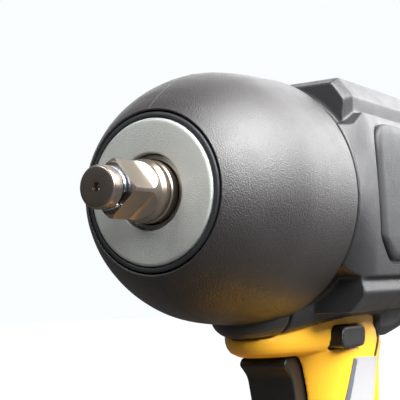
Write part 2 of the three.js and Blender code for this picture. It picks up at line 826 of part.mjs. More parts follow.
function acrossRod(x, z, right, left, radius, segments = 12) {
  const section = new THREE.CylinderGeometry(radius, radius, left - right, segments);
  return solid(section.translate(x, (right + left) / 2, z));
}

function leftShell() {
  const barrel = solid(rod(BARREL_FRONT, BARREL_REAR, CASE_R));
  const barrelRear = solid(rod(BARREL_STEP, BARREL_REAR, BARREL_REAR_R));
  const tailCut = cut(solid(alongY(tailRoom(GAP), -60, 60)), webRoom(0), solid(rod(-100, -160, CASE_R)));
  const outside = join(cut(join(handle(), neck()), tailCut), barrel, barrelRear);
  const motorRoom = solid(rod(BARREL_FRONT + 1, BARREL_REAR - 1, STATOR_R + GAP));
  const caseRoom = solid(rod(10, BARREL_FRONT, COVER_BORE));
  const carved = cut(
    outside,
    handleHollow(),
    motorRoom,
    caseRoom,
    channel(),
    ...footRooms(),
    triggerRoom(),
    directionPad(0.4, -40, 40),
  );
  const posts = HANDLE_SCREWS.map(([x, z]) => acrossRod(x, z, 0, 17.2, 4).intersect(handle()));
  const holes = HANDLE_SCREWS.map(([x, z]) => acrossRod(x, z, -1, 14, 1.9, 8));
  return cut(join(carved, ...posts), ...holes).intersect(leftHalf());
}

// The right shell is the left one's mirror image, with the screw heads' counterbores.
function rightShell(left) {
  const mirrored = geometryOf(left).scale(1, -1, 1);
  const index = mirrored.index;
  for (let i = 0; i < index.count; i += 3) {
    const first = index.getX(i);
    index.setX(i, index.getX(i + 1));
    index.setX(i + 1, first);
  }
  const heads = HANDLE_SCREWS.map(([x, z]) => acrossRod(x, z, -30, -13.5, 3.4, 8));
  return cut(solid(mirrored), ...heads);
}

function leftGrip() {
  const skin = cut(solid(stacked(GRIP_ROWS, 1.7)), solid(stacked(GRIP_ROWS, GAP)));
  const patch = new THREE.Shape(
    vectors([
      [-112, -76],
      [-150, -74],
      [-150, -137],
      [-92, -137],
      [-99, -124],
      [-103, -94],
    ]),
  );
  const heads = HANDLE_SCREWS.map(([x, z]) => acrossRod(x, z, 0, 30, 3.8, 8));
  return cut(skin.intersect(solid(alongY(patch, 0, 40))), ...heads).intersect(leftHalf());
}

// The roof block, whose front is chamfered all round and whose top climbs towards the rear.
function roof() {
  const front = [
    [-1, 24],
    [33.5, 24],
    [35, 32],
    [30.8, 37.8],
    [-1, 38],
  ];
  const shoulder = [
    [-1, 24],
    [35.2, 24],
    [36.3, 33],
    [31.2, 39.8],
    [-1, 40.1],
  ];
  const full = [
    [-1, 24],
    [35.2, 24],
    [36.3, 33],
    [31.6, 39.3],
    [19, 45.7],
    [-1, 46.2],
  ];
  const plate = (corners, x) => solid(alongX(new THREE.Shape(vectors(corners)), x - 0.1, x));
  const sloped = wasm.Manifold.hull([plate(front, -62), plate(shoulder, -66.5), plate(full, -106)]);
  return join(sloped, solid(alongX(new THREE.Shape(vectors(full)), COVER_REAR, -106)));
}

// The wing on the cover's side, whose front follows the boot's round rear edge.
function wing() {
  const outline = [
    [-54.8, -20],
    [-54.8, 22.6],
    [-60, 23.2],
    [-66, 27],
    [COVER_REAR, 27],
    [COVER_REAR, -27.3],
    [-61, -27.3],
  ];
  const flare = turned([
    [-50, 43.2],
    [-60.5, 44.8],
    [-71, 53],
    [-71, 70],
    [-50, 70],
  ]);
  return cut(solid(alongY(new THREE.Shape(vectors(outline)), 30, 42)), solid(flare));
}

// A side cover: a round barrel with the roof block, the wing, a lower rail, and a skirt on the neck.
function leftCover() {
  const rear = COVER_REAR;
  const barrel = solid(rod(COVER_FRONT, rear, 40.2, 28));
  const railCorners = [
    [19, -25],
    [20.6, -38.5],
    [33, -38.5],
    [39, -32.4],
    [37.5, -20],
  ];
  const rail = solid(alongX(new THREE.Shape(vectors(railCorners)), rear, -62));
  const recess = alongY(roundedRectangle(-142, -69.5, -22, 23, 8), 40.8, 60);
  const panel = alongY(roundedRectangle(-140.5, -71, -20.5, 21.5, 7), 36, 43);
  const bore = solid(rod(0, rear - 1, COVER_BORE));
  const skirt = collar().intersect(solid(box(rear, BOOT_REAR - 0.4, -60, 60, -60, -20)));
  const lower = cut(join(barrel, rail, skirt), solid(alongZ(neckPlan(0.5), -80, -15)));
  const webbed = cut(join(lower, tail()), webRoom(0.4));
  const winged = join(cut(join(webbed, roof(), wing()), solid(recess)), solid(panel));
  return cut(winged, bore).intersect(leftHalf());
}

// ---------------------------------------------------------------- trigger, buttons and foot

function trigger() {
  const shape = new THREE.Shape();
  shape.moveTo(-77, TRIGGER_TOP);
  shape.lineTo(-63, TRIGGER_TOP);
  shape.quadraticCurveTo(-60, TRIGGER_TOP, -61, TRIGGER_TOP - 2.5);
  shape.quadraticCurveTo(-67.5, -62, -68, -71);
  shape.quadraticCurveTo(-68, -76.4, -71, -76.4);
  shape.lineTo(-77, -76.4);
  const half = TRIGGER_HALF_WIDTH;
  return alongY(shape, -half, half, 6);
}

function triggerSpring() {
  return wire(new Helix(-77.9, -85.1, 4, 4), 0.6, 32, 4).translate(0, 0, -66);
}

function directionButton() {
  const reach = 23.5;
  const root = 16;
  const pads = [directionPad(0, root, reach), directionPad(0, -reach, -root)];
  return join(...pads, solid(box(-94, -85, -root - 1, root + 1, -50.5, -44.5)));
}

function terminalBlock() {
  const block = solid(box(-150, CHANNEL_REAR + GAP - 0.5, -17, 17, -162, -149.5));
  const blades = BLADE_PLACES.map((y) => solid(box(-141, -127, y - 0.4, y + 0.4, -160.5, -157)));
  return join(block, ...blades);
}

function modeButton() {
  return alongZ(roundedRectangle(-75, -65, -5, 5, 2), -151, -144.2, 4);
}

function workLightLens() {
  return alongX(roundedRectangle(-9, 9, -155.2, -149, 2.5), -60, -52.2, 4);
}

// ---------------------------------------------------------------- battery

function batteryPlan(inset) {
  const half = BATTERY_LENGTH / 2 - inset;
  const side = BATTERY_WIDTH / 2 - inset;
  return roundedRectangle(BATTERY_MIDDLE - half, BATTERY_MIDDLE + half, -side, side, 12 - inset);
}

function batteryLowerCase() {
  const floor = -AXIS_HEIGHT;
  const base = solid(alongZ(batteryPlan(3), floor, floor + 3, 4));
  const walls = solid(alongZ(batteryPlan(0), floor + 1, BATTERY_SEAM - GAP, 4));
  const room = solid(alongZ(batteryPlan(2.5), floor + 2.5, BATTERY_SEAM + 1, 4));
  return cut(join(base, walls), room);
}

function batteryUpperCase() {
  const top = FOOT_BOTTOM - GAP;
  const deck = solid(alongZ(batteryPlan(3), top - 3, top, 4));
  const walls = solid(alongZ(batteryPlan(0), BATTERY_SEAM, top - 1.2, 4));
  const room = solid(alongZ(batteryPlan(2.5), BATTERY_SEAM - 1, top - 2.5, 4));
  const throat = THROAT_HALF_WIDTH - 0.4;
  const tower = solid(box(-138.8, -62, -throat, throat, top - 1, CHANNEL_TOP - 0.4));
  const rail = CHANNEL_HALF_WIDTH - 0.4;
  const rails = solid(box(-138.8, -62, -rail, rail, RAIL_TOP + 0.4, CHANNEL_TOP - 0.4));
  const slots = BLADE_PLACES.map((y) => solid(box(-140, -126, y - 0.9, y + 0.9, -161.2, -150)));
  const latchRoom = solid(box(-53.4, -40, -14.4, 14.4, top - 9.4, -150));
  return cut(join(cut(join(walls, deck), room), tower, rails), ...slots, latchRoom);
}

function batteryCells() {
  const cells = [];
  for (let column = -2; column <= 2; column++) {
    for (const row of [0, 1]) {
      const x = BATTERY_MIDDLE + column * CELL_PITCH;
      const z = -AXIS_HEIGHT + 12.4 + row * CELL_PITCH;
      cells.push(acrossRod(x, z, -32.5, 32.5, CELL_R, 8));
    }
  }
  const holder = box(-147, -53, -3, 3, -AXIS_HEIGHT + 6, -AXIS_HEIGHT + 38);
  return join(solid(holder), ...cells);
}

function batteryRelease() {
  const top = FOOT_BOTTOM - GAP;
  const shape = roundedRectangle(-53, -41.6, -14, 14, 1.5);
  return alongZ(shape, top - 6, top - 0.3, 3);
}

// ---------------------------------------------------------------- screws

function rearCapScrew([y, z]) {
  const profile = [
    [TAIL_X + 1.2, 0],
    [TAIL_X + 1.2, 3.4],
    [TAIL_X + 4.6, 3.4],
    [TAIL_X + 4.6, 1.6],
    [-181, 1.6],
    [-181, 0],
  ];
  return turned(profile, 8).translate(0, y, z);
}

function handleScrew([x, z]) {
  const profile = [
    [-16.6, 0],
    [-16.6, 3],
    [-13.9, 3],
    [-13.9, 1.5],
    [11, 1.5],
    [11, 0],
  ];
  return turned(profile, 8).rotateZ(Math.PI / 2).translate(x, 0, z);
}

// ---------------------------------------------------------------- assembly

piece("nose_ring", noseRing(), BLASTED_STEEL);
piece("nose_boot", noseBoot(), RUBBER_GREY);
piece("hammer_case", hammerCase(), CASE_ALUMINIUM);
piece("anvil_bushing", anvilBushing(), BRONZE);
piece("anvil", anvil(), WARM_STEEL);
piece("hog_ring", hogRing(), BLUED_STEEL);
piece("hog_ring_o_ring", hogRingORing(), BLACK_RUBBER);

piece("hammer", hammer(), GEAR_STEEL);
piece("thrust_washer", tube(POCKET_FRONT - 0.4, POCKET_FRONT - 2.1, 19.6, 26.1), BEARING_STEEL);
piece("hammer_spring", hammerSpring(), BLUED_STEEL);
piece("cam_ball_left", camBall(1), BEARING_STEEL);
piece("cam_ball_right", camBall(-1), BEARING_STEEL);
piece("camshaft", camshaft(), GEAR_STEEL);
for (let i = 0; i < 3; i++) {
  piece(`planet_gear_${i + 1}`, planet(i), GEAR_STEEL);
  piece(`planet_pin_${i + 1}`, planetPin(i), BEARING_STEEL);
}
piece("ring_gear", ringGear(), GEAR_STEEL);
piece("gearcase_plate", gearcasePlate(), CASE_ALUMINIUM);
piece("camshaft_bearing", tube(CARRIER_REAR - 0.5, CARRIER_REAR - 6, TAIL_R + GAP, 15.5), BEARING_STEEL);

piece("rotor_shaft", rotorShaft(), GEAR_STEEL);
piece("rotor_core", tube(-130, -171, SHAFT_R + GAP, 17), LAMINATION);
piece("cooling_fan", coolingFan(), BLACK_PLASTIC);
piece("stator", stator(), LAMINATION);
piece("sensor_board", tube(-173, -174.6, 8, 28), BOARD_GREEN);
piece("front_rotor_bearing", tube(-108.5, -113, SHAFT_R + GAP, 9.5, 20), BEARING_STEEL);
piece("rear_rotor_bearing", tube(-180, -186, SHAFT_R + GAP, 9.5, 20), BEARING_STEEL);
piece("rear_cap", rearCap(), BLACK_PLASTIC);
screwCorners().forEach((corner, i) => {
  piece(`rear_cap_screw_${i + 1}`, rearCapScrew(corner), SCREW_BLACK);
});

const shell = leftShell();
piece("left_shell", shell, YELLOW);
piece("right_shell", rightShell(shell), YELLOW);
pair("left_cover", "right_cover", leftCover(), COVER_GREY);
pair("left_grip", "right_grip", leftGrip(), BLACK_RUBBER);
HANDLE_SCREWS.forEach((place, i) => {
  piece(`handle_screw_${i + 1}`, handleScrew(place), SCREW_BLACK);
});

piece("trigger", trigger(), BLACK_PLASTIC);
piece("trigger_spring", triggerSpring(), BEARING_STEEL);
piece("trigger_switch", box(SWITCH_REAR, SWITCH_FRONT - GAP, -11, 11, -84, -57), BLACK_PLASTIC);
piece("direction_button", directionButton(), BLACK_PLASTIC);
piece("mode_button", modeButton(), BLACK_PLASTIC);
piece("work_light_lens", workLightLens(), LENS_CLEAR);
piece("control_module", box(-136, -80, -25, 25, -153.2, -147.8), BLACK_PLASTIC);
piece("terminal_block", terminalBlock(), BLACK_PLASTIC);

piece("battery_lower_case", batteryLowerCase(), BLACK_PLASTIC);
piece("battery_upper_case", batteryUpperCase(), BLACK_PLASTIC);
piece("battery_cells", batteryCells(), CELL_WRAP);
piece("battery_release", batteryRelease(), YELLOW);

export default wrench;
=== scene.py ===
import json
import math

import bmesh
import bpy
from mathutils import Matrix, Vector

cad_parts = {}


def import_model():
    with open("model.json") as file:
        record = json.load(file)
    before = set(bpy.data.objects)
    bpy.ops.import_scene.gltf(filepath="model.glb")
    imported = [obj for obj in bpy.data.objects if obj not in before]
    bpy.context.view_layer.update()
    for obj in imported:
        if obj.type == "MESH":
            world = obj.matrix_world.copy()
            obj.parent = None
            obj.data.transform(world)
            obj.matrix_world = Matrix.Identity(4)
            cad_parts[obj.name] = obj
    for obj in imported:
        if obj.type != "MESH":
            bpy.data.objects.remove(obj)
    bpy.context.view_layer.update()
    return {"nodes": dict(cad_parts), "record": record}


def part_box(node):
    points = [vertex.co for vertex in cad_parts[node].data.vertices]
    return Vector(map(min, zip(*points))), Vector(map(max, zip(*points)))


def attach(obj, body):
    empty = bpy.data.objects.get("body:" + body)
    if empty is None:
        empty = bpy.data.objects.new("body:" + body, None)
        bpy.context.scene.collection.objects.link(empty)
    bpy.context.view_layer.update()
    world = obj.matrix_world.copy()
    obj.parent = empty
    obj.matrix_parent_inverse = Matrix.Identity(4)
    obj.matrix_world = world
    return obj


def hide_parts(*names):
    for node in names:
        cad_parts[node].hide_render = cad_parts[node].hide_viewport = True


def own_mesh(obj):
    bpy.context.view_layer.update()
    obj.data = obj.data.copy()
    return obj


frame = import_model()
scene = bpy.context.scene

# Shapes are made in the tool's own millimetres, as in the CAD source: x = 0 is the nose ring's face,
# z = 0 the anvil's axis, +X forwards, +Y left. place() moves them into the frame, in metres.
MM = 0.001
ring_low, ring_high = (Vector(corner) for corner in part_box("nose_ring"))
NOSE = Vector((ring_high.x, 0, (ring_low.z + ring_high.z) / 2))
TO_FRAME = Matrix.Translation(NOSE) @ Matrix.Scale(MM, 4)

GAP = 0.3
RING_R = 22
RING_BORE = 11.4
RIM_R = 23.8
CASE_R = 37
CASE_REAR = -103
CASE_ROOM_R = CASE_R + 0.4
BOOT_REAR = -54.4
SKIRT_FRONT = -54.8
MOTOR_FRONT = -113.5
TRIGGER_TOP = -53.4
TRIGGER_BOTTOM = -76.4
COVER_REAR = -150
BARREL_STEP = -150.5
BARREL_REAR = -183
CAP_FRONT = -183.4
TAIL_X = -198
COLLAR_R = 46.2
SQUARE = 12.7
SQUARE_TURN = math.radians(39.3)
TIP_X = 24.3
TIP_R = 6.2
SHANK_R = 9.35
NECK_FRONT = -49.5
NECK_MIDDLE = -95
NECK_REAR = -132
NECK_HALF_WIDTH = 21.5
NECK_BOTTOM = -52.8
TAIL_FRONT = -112
TAIL_BOTTOM = -49.4
TAIL_HALF_WIDTH = 20.9
CORE_REAR = -130
CORE_HALF_WIDTH = 14
FOOT_BOTTOM = -165
FLOOR = -212
BATTERY_SEAM = -188
PACK_TOP = FOOT_BOTTOM - GAP
PACK_MIDDLE = -100
# Past the tool at its rear and below, and past its sides and top.
FAR = 260
ASIDE = 80

# Outer profile of the rubber boot: [x, radius].
BOOT_CURVE = [
    (-1.0, 24.8), (-3.2, 26.95), (-6.0, 29.2), (-11.0, 32.7), (-18.0, 36.4), (-26.0, 39.2),
    (-35.0, 40.55), (-45.0, 41.3), (-53.0, 41.75),
]

# Handle and foot sections: height, middle, half depth, half width, squareness.
HANDLE_ROWS = [
    (-46, -98, 33, 21, 2.5), (-51, -99, 33, 21.2, 2.5), (-58, -99.5, 29, 20.8, 2.5),
    (-72, -101, 27, 20, 2.5), (-90, -103, 24.5, 18.9, 2.5), (-110, -105.5, 23.5, 18.6, 2.5),
    (-130, -108, 24.5, 19.6, 2.5),
    (-139, -108, 29, 22, 2.8), (-145, -105, 44, 29, 4), (-150, -103, 52, 33.6, 5),
    (-156, -102.6, 54.2, 34.6, 6), (-165, -102.5, 54.5, 34.8, 6),
]
HANDLE_SCREWS = [(-114.5, -62), (-94, -97), (-107, -128)]
GRIP_ROWS = HANDLE_ROWS[:9]
HOLLOW_ROWS = HANDLE_ROWS[:7]

# The camera, in radians and in millimetres from the nose.
CAMERA_AZIMUTH, CAMERA_ELEVATION, CAMERA_ROLL = 0.58284, -0.086446, -0.038397
CAMERA_DISTANCE, CAMERA_RIGHT, CAMERA_UP = 293.3224, 14.9324, -2.38
LIGHT_TARGET = NOSE + Vector((-0.03, 0, 0))


# ---------------------------------------------------------------- outlines and solids

def softened(corners, steps=6):
    """A closed outline with each (a, b, radius) corner rounded off."""
    points = []
    for i, corner in enumerate(corners):
        here = Vector(corner[:2])
        radius = corner[2] if len(corner) > 2 else 0
        if not radius:
            points.append(here)
            continue
        before = Vector(corners[i - 1][:2]) - here
        after = Vector(corners[(i + 1) % len(corners)][:2]) - here
        reach = radius / math.tan(before.angle(after) / 2)
        reach = min(reach, 0.49 * before.length, 0.49 * after.length)
        start = here + before.normalized() * reach
        end = here + after.normalized() * reach
        for k in range(steps + 1):
            t = k / steps
            points.append(start * (1 - t) ** 2 + here * 2 * t * (1 - t) + end * t * t)
    return points


def smooth_curve(points, steps=5):
    """A Catmull-Rom curve through points of any length, ends kept."""
    ends = [points[0], *points, points[-1]]
    curve = []
    for a, b, c, d in zip(ends, ends[1:], ends[2:], ends[3:]):
        for k in range(steps):
            t = k / steps
            curve.append(tuple(
                0.5 * (2 * q + (r - p) * t + (2 * p - 5 * q + 4 * r - s) * t**2
                       + (3 * q - p - 3 * r + s) * t**3)
                for p, q, r, s in zip(a, b, c, d)))
    curve.append(tuple(points[-1]))
    return curve


def made(name, bm):
    """An object in the scene from a finished bmesh."""
    bmesh.ops.recalc_face_normals(bm, faces=bm.faces)
    mesh = bpy.data.meshes.new(name)
    bm.to_mesh(mesh)
    bm.free()
    obj = bpy.data.objects.new(name, mesh)
    scene.collection.objects.link(obj)
    return obj


def turned(name, corners, segments=128, steps=6):
    """A solid turned about the X axis from a closed outline of (x, radius) corners."""
    bm = bmesh.new()
    rings = []
    for x, r in softened(corners, steps):
        around = segments if r > 1e-6 else 1
        angles = [2 * math.pi * k / around for k in range(around)]
        rings.append([bm.verts.new((x, r * math.cos(a), r * math.sin(a))) for a in angles])
    for ring, following in zip(rings, rings[1:] + rings[:1]):
        for k in range(segments):
            quad = [ring[k % len(ring)], ring[(k + 1) % len(ring)],
                    following[(k + 1) % len(following)], following[k % len(following)]]
            corners_left = list(dict.fromkeys(quad))
            if len(corners_left) > 2:
                bm.faces.new(corners_left)
    return made(name, bm)


def rod(name, front, rear, radius, segments=160):
    """A round bar on the anvil's axis, used to cut room."""
    return turned(name, [(front, 0), (front, radius), (rear, radius), (rear, 0)], segments)


def from_points(name, points):
    """The convex hull of some points."""
    bm = bmesh.new()
    for point in points:
        bm.verts.new(point)
    bmesh.ops.convex_hull(bm, input=bm.verts)
    bmesh.ops.delete(bm, geom=[vert for vert in bm.verts if not vert.link_faces], context="VERTS")
    return made(name, bm)


def hulled(name, *shapes):
    """The convex hull round some shapes, which it uses up."""
    points = [vert.co.copy() for shape in shapes for vert in shape.data.vertices]
    for shape in shapes:
        bpy.data.objects.remove(shape)
    return from_points(name, points)


def lofted(name, loops):
    """A closed skin through loops of equally many points, with flat ends."""
    bm = bmesh.new()
    rings = [[bm.verts.new(point) for point in loop] for loop in loops]
    bm.faces.new(rings[0])
    bm.faces.new(rings[-1])
    for low, high in zip(rings, rings[1:]):
        for k in range(len(low)):
            following = (k + 1) % len(low)
            bm.faces.new([low[k], low[following], high[following], high[k]])
    return made(name, bm)


AXES = {"x": (1, 2, 0), "y": (0, 2, 1), "z": (0, 1, 2)}


def prism(name, corners, axis, low, high, steps=6):
    """A closed outline in the two other axes, in their order, extruded from low to high."""
    first, second, along = AXES[axis]
    loops = []
    for level in (low, high):
        loop = []
        for a, b in softened(corners, steps):
            place_at = [0, 0, 0]
            place_at[first], place_at[second], place_at[along] = a, b, level
            loop.append(place_at)
        loops.append(loop)
    return lofted(name, loops)


def rounded(a, b, radius):
    """A rectangle over two (low, high) spans, with rounded corners."""
    return [(a[0], b[0], radius), (a[1], b[0], radius), (a[1], b[1], radius), (a[0], b[1], radius)]


def block(name, x, y, z):
    return prism(name, [(x[0], y[0]), (x[1], y[0]), (x[1], y[1]), (x[0], y[1])], "z", *z)


def stacked(name, rows, grow=0, around=96, steps=5):
    """Superellipse sections on a smooth curve between the rows, closed by flat ends."""
    loops = []
    for z, x, a, b, n in smooth_curve(rows, steps):
        loop = []
        for k in range(around):
            angle = 2 * math.pi * k / around
            cos, sin = math.cos(angle), math.sin(angle)
            along = math.copysign(abs(cos) ** (2 / n), cos) * (a + grow)
            across = math.copysign(abs(sin) ** (2 / n), sin) * (b + grow)
            loop.append((x + along, across, z))
        loops.append(loop)
    return lofted(name, loops)


def across_rod(name, x, z, y, radius, segments=32):
    angles = [2 * math.pi * k / segments for k in range(segments)]
    outline = [(x + radius * math.cos(angle), z + radius * math.sin(angle)) for angle in angles]
    return prism(name, outline, "y", *y)


def applied(obj):
    """Replaces the object's mesh by what its modifiers make of it."""
    mesh = bpy.data.meshes.new_from_object(obj.evaluated_get(bpy.context.evaluated_depsgraph_get()))
    obj.modifiers.clear()
    old = obj.data
    obj.data = mesh
    bpy.data.meshes.remove(old)
    return obj


def boolean(obj, operation, *tools):
    for tool in tools:
        modifier = obj.modifiers.new(operation, "BOOLEAN")
        modifier.operation = operation
        modifier.solver = "MANIFOLD"
        modifier.object = tool
        applied(obj)
        bpy.data.objects.remove(tool)
    return obj


def join(obj, *tools):
    return boolean(obj, "UNION", *tools)


def cut(obj, *tools):
    return boolean(obj, "DIFFERENCE", *tools)


def common(obj, *tools):
    return boolean(obj, "INTERSECT", *tools)


def copied(obj, name):
    twin = obj.copy()
    twin.data = obj.data.copy()
    twin.name = name
    scene.collection.objects.link(twin)
    return twin


def mirrored(obj):
    """Moves a shape to the other side of the tool."""
    obj.data.transform(Matrix.Scale(-1, 4, (0, 1, 0)))
    obj.data.flip_normals()


def bevelled(obj, width, segments, angle):
    """Breaks the edges sharper than an angle, in degrees."""
    bevel = obj.modifiers.new("Bevel", "BEVEL")
    bevel.width = width
    bevel.segments = segments
    bevel.limit_method = "ANGLE"
    bevel.angle_limit = math.radians(angle)
    return applied(obj)


def moulded(obj, voxel, rounds):
    """Rounds every edge over a little, as on a moulded part."""
    remesh = obj.modifiers.new("Remesh", "REMESH")
    remesh.mode = "VOXEL"
    remesh.voxel_size = voxel
    remesh.use_smooth_shade = True
    smooth = obj.modifiers.new("Smooth", "SMOOTH")
    smooth.factor = 0.5
    smooth.iterations = rounds
    return applied(obj)


def shaded(obj, sharp=32):
    """Smooth shading that keeps edges sharper than an angle, in degrees."""
    bm = bmesh.new()
    bm.from_mesh(obj.data)
    bmesh.ops.remove_doubles(bm, verts=bm.verts, dist=1e-4)
    for face in bm.faces:
        face.smooth = True
    for edge in bm.edges:
        edge.smooth = not edge.is_manifold or edge.calc_face_angle(0) < math.radians(sharp)
    bm.to_mesh(obj.data)
    bm.free()
    return obj


def place(obj, name, body, material, slot, *nodes):
    """Moves a finished shape into the frame and gives it its name, body and finish."""
    obj.name = name
    obj.data.name = name
    obj.data.transform(TO_FRAME)
    obj.data.materials.clear()
    obj.data.materials.append(material)
    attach(obj, body)
    if nodes:
        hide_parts(*nodes)
    return obj


# ---------------------------------------------------------------- materials

def node_material(name):
    """A new material with only a principled shader."""
    material = bpy.data.materials.new(name)
    material.use_nodes = True
    nodes = material.node_tree.nodes
    nodes.clear()
    output = nodes.new("ShaderNodeOutputMaterial")
    shader = nodes.new("ShaderNodeBsdfPrincipled")
    material.node_tree.links.new(shader.outputs["BSDF"], output.inputs["Surface"])
    return material, shader


def noise(material, scale, detail=2.0, stretch=(1, 1, 1)):
    """Noise in the frame's metres: scale is in features per metre."""
    nodes, links = material.node_tree.nodes, material.node_tree.links
    coordinates = nodes.new("ShaderNodeTexCoord")
    mapping = nodes.new("ShaderNodeMapping")
    mapping.inputs["Scale"].default_value = stretch
    texture = nodes.new("ShaderNodeTexNoise")
    texture.inputs["Scale"].default_value = scale
    texture.inputs["Detail"].default_value = detail
    links.new(coordinates.outputs["Object"], mapping.inputs["Vector"])
    links.new(mapping.outputs["Vector"], texture.inputs["Vector"])
    return texture.outputs["Fac"]


def between(material, factor, low, high, start=0.3, end=0.7):
    """Maps a factor from start..end to low..high."""
    node = material.node_tree.nodes.new("ShaderNodeMapRange")
    node.inputs["From Min"].default_value = start
    node.inputs["From Max"].default_value = end
    node.inputs["To Min"].default_value = low
    node.inputs["To Max"].default_value = high
    material.node_tree.links.new(factor, node.inputs["Value"])
    return node.outputs["Result"]


def tinted(material, factor, low, high):
    """A colour that varies from low to high."""
    ramp = material.node_tree.nodes.new("ShaderNodeValToRGB")
    ramp.color_ramp.elements[0].position = 0.3
    ramp.color_ramp.elements[1].position = 0.7
    ramp.color_ramp.elements[0].color = (*low, 1)
    ramp.color_ramp.elements[1].color = (*high, 1)
    material.node_tree.links.new(factor, ramp.inputs["Fac"])
    return ramp.outputs["Color"]


def bumped(material, shader, height, depth):
    """A grain from a height, depth metres deep."""
    node = material.node_tree.nodes.new("ShaderNodeBump")
    node.inputs["Distance"].default_value = depth
    node.inputs["Strength"].default_value = 1.0
    material.node_tree.links.new(height, node.inputs["Height"])
    material.node_tree.links.new(node.outputs["Normal"], shader.inputs["Normal"])


def scaled(colour, factor):
    return tuple(min(1.0, part * factor) for part in colour)


def surface(name, colour, roughness, grain, depth, metallic=0.0, spread=0.12, polish=0.05,
            stretch=(1, 1, 1), specular=0.5):
    """A finish with cloudy colour, uneven gloss and a fine grain; grain is its features per metre."""
    material, shader = node_material(name)
    links = material.node_tree.links
    clouds = noise(material, 60, 3)
    links.new(tinted(material, clouds, scaled(colour, 1 - spread), scaled(colour, 1 + spread)),
              shader.inputs["Base Color"])
    patches = noise(material, 190, 4, stretch)
    polished = between(material, patches, roughness - polish, roughness + polish)
    links.new(polished, shader.inputs["Roughness"])
    shader.inputs["Metallic"].default_value = metallic
    shader.inputs["Specular IOR Level"].default_value = specular
    bumped(material, shader, noise(material, grain, 2, stretch), depth)
    return material


def clear_plastic():
    material, shader = node_material("clear_lens")
    links = material.node_tree.links
    ripple = noise(material, 900, 1)
    links.new(tinted(material, ripple, (0.86, 0.9, 0.93), (0.95, 0.97, 1.0)), shader.inputs["Base Color"])
    shader.inputs["Roughness"].default_value = 0.08
    shader.inputs["Transmission Weight"].default_value = 0.85
    shader.inputs["IOR"].default_value = 1.5
    bumped(material, shader, ripple, 0.0001)
    return material


boot_rubber = surface("boot_rubber", (0.02, 0.0185, 0.0185), 0.41, 2600, 0.00017,
                      spread=0.1, polish=0.04, specular=0.6)
cover_plastic = surface("cover_plastic", (0.017, 0.017, 0.0185), 0.42, 2400, 0.00009,
                        spread=0.08, specular=0.44)
panel_plastic = surface("panel_plastic", (0.02, 0.0205, 0.022), 0.5, 2000, 0.00012,
                        spread=0.08, specular=0.4)
yellow_plastic = surface("yellow_plastic", (0.83, 0.42, 0.02), 0.42, 2200, 0.00004, spread=0.03)
black_plastic = surface("black_plastic", (0.007, 0.007, 0.0075), 0.42, 2400, 0.00006, spread=0.15)
grip_rubber = surface("grip_rubber", (0.012, 0.012, 0.012), 0.62, 1500, 0.0002, spread=0.15)
blasted_steel = surface("blasted_steel", (0.45, 0.465, 0.445), 0.52, 3600, 0.00016,
                        metallic=0.6, spread=0.07)
warm_steel = surface("warm_steel", (0.32, 0.275, 0.235), 0.32, 3000, 0.000006,
                     metallic=1.0, spread=0.05, polish=0.025)
blued_steel = surface("blued_steel", (0.42, 0.5, 0.66), 0.2, 3000, 0.00002, metallic=1.0)
gear_steel = surface("gear_steel", (0.3, 0.3, 0.31), 0.32, 1800, 0.00003, metallic=1.0)
bearing_steel = surface("bearing_steel", (0.6, 0.61, 0.62), 0.2, 2500, 0.00002, metallic=1.0)
case_metal = surface("case_metal", (0.02, 0.022, 0.025), 0.5, 2200, 0.00005, metallic=0.2)
bronze = surface("bronze", (0.34, 0.33, 0.3), 0.36, 2600, 0.00003,
                 metallic=1.0, spread=0.06)
lamination = surface("lamination", (0.16, 0.165, 0.17), 0.45, 1600, 0.0001,
                     metallic=0.8, stretch=(5, 0.2, 0.2))
board_green = surface("board_green", (0.012, 0.12, 0.04), 0.4, 900, 0.0001)
black_screw = surface("black_screw", (0.03, 0.03, 0.033), 0.35, 3000, 0.00003, metallic=0.9)
cell_wrap = surface("cell_wrap", (0.03, 0.16, 0.3), 0.35, 500, 0.0001)
label_film = surface("label_film", (0.33, 0.33, 0.34), 0.35, 1500, 0.00001, spread=0.02)
# Painted shade: a flat dark grey film for the shadow line along the rating label's front edge.
label_edge_shade = surface("label_edge_shade", (0.1, 0.11, 0.13), 0.35, 1500, 0.00001, spread=0.05)
lens_clear = clear_plastic()

SLOT_MATERIALS = {
    "rubber_grey": boot_rubber, "cover_grey": cover_plastic, "yellow_plastic": yellow_plastic,
    "black_plastic": black_plastic, "black_rubber": grip_rubber, "blasted_steel": blasted_steel,
    "warm_steel": warm_steel, "blued_steel": blued_steel, "gear_steel": gear_steel,
    "bearing_steel": bearing_steel, "case_aluminium": case_metal, "bronze": bronze,
    "lamination": lamination, "board_green": board_green, "lens_clear": lens_clear,
    "screw_black": black_screw, "cell_wrap": cell_wrap,
}


def finish_cad_nodes():
    """Every carried-over CAD node takes the procedural material of its record slot."""
    slots = {part["node"]: part["material_slot"] for part in frame["record"]["subparts"]}
    for name, obj in frame["nodes"].items():
        for slot in obj.material_slots:
            slot.material = SLOT_MATERIALS[slots[name]]


# ---------------------------------------------------------------- nose and anvil

def nose_ring():
    obj = turned("nose_ring_blasted", [
        (-2.6, RING_BORE), (0, RING_BORE, 0.7), (0, RING_R, 1.5), (-2.6, RING_R)], 160)
    place(shaded(obj), "nose_ring_blasted", "housing", blasted_steel, "blasted_steel", "nose_ring")


def hammer_case():
    inner = [(x, r - 3.2) for x, r in BOOT_CURVE[2:7]]
    obj = turned("hammer_case_black", [
        (-2.9, RING_R + GAP), (-0.6, RING_R + GAP, 0.4), (-0.6, RIM_R, 0.8), (-3.8, RIM_R), *inner,
        (-39, CASE_R), (CASE_REAR, CASE_R, 0.8), (CASE_REAR, 33.6), (-83.5, 33.6), (-83.5, 32.2),
        (-32.5, 32.2), (-27, 29.3), (-19.4, 29.3), (-19.4, 13.3), (-2.9, 13.3)], 128)
    place(shaded(obj), "hammer_case_black", "housing", case_metal, "case_aluminium", "hammer_case")


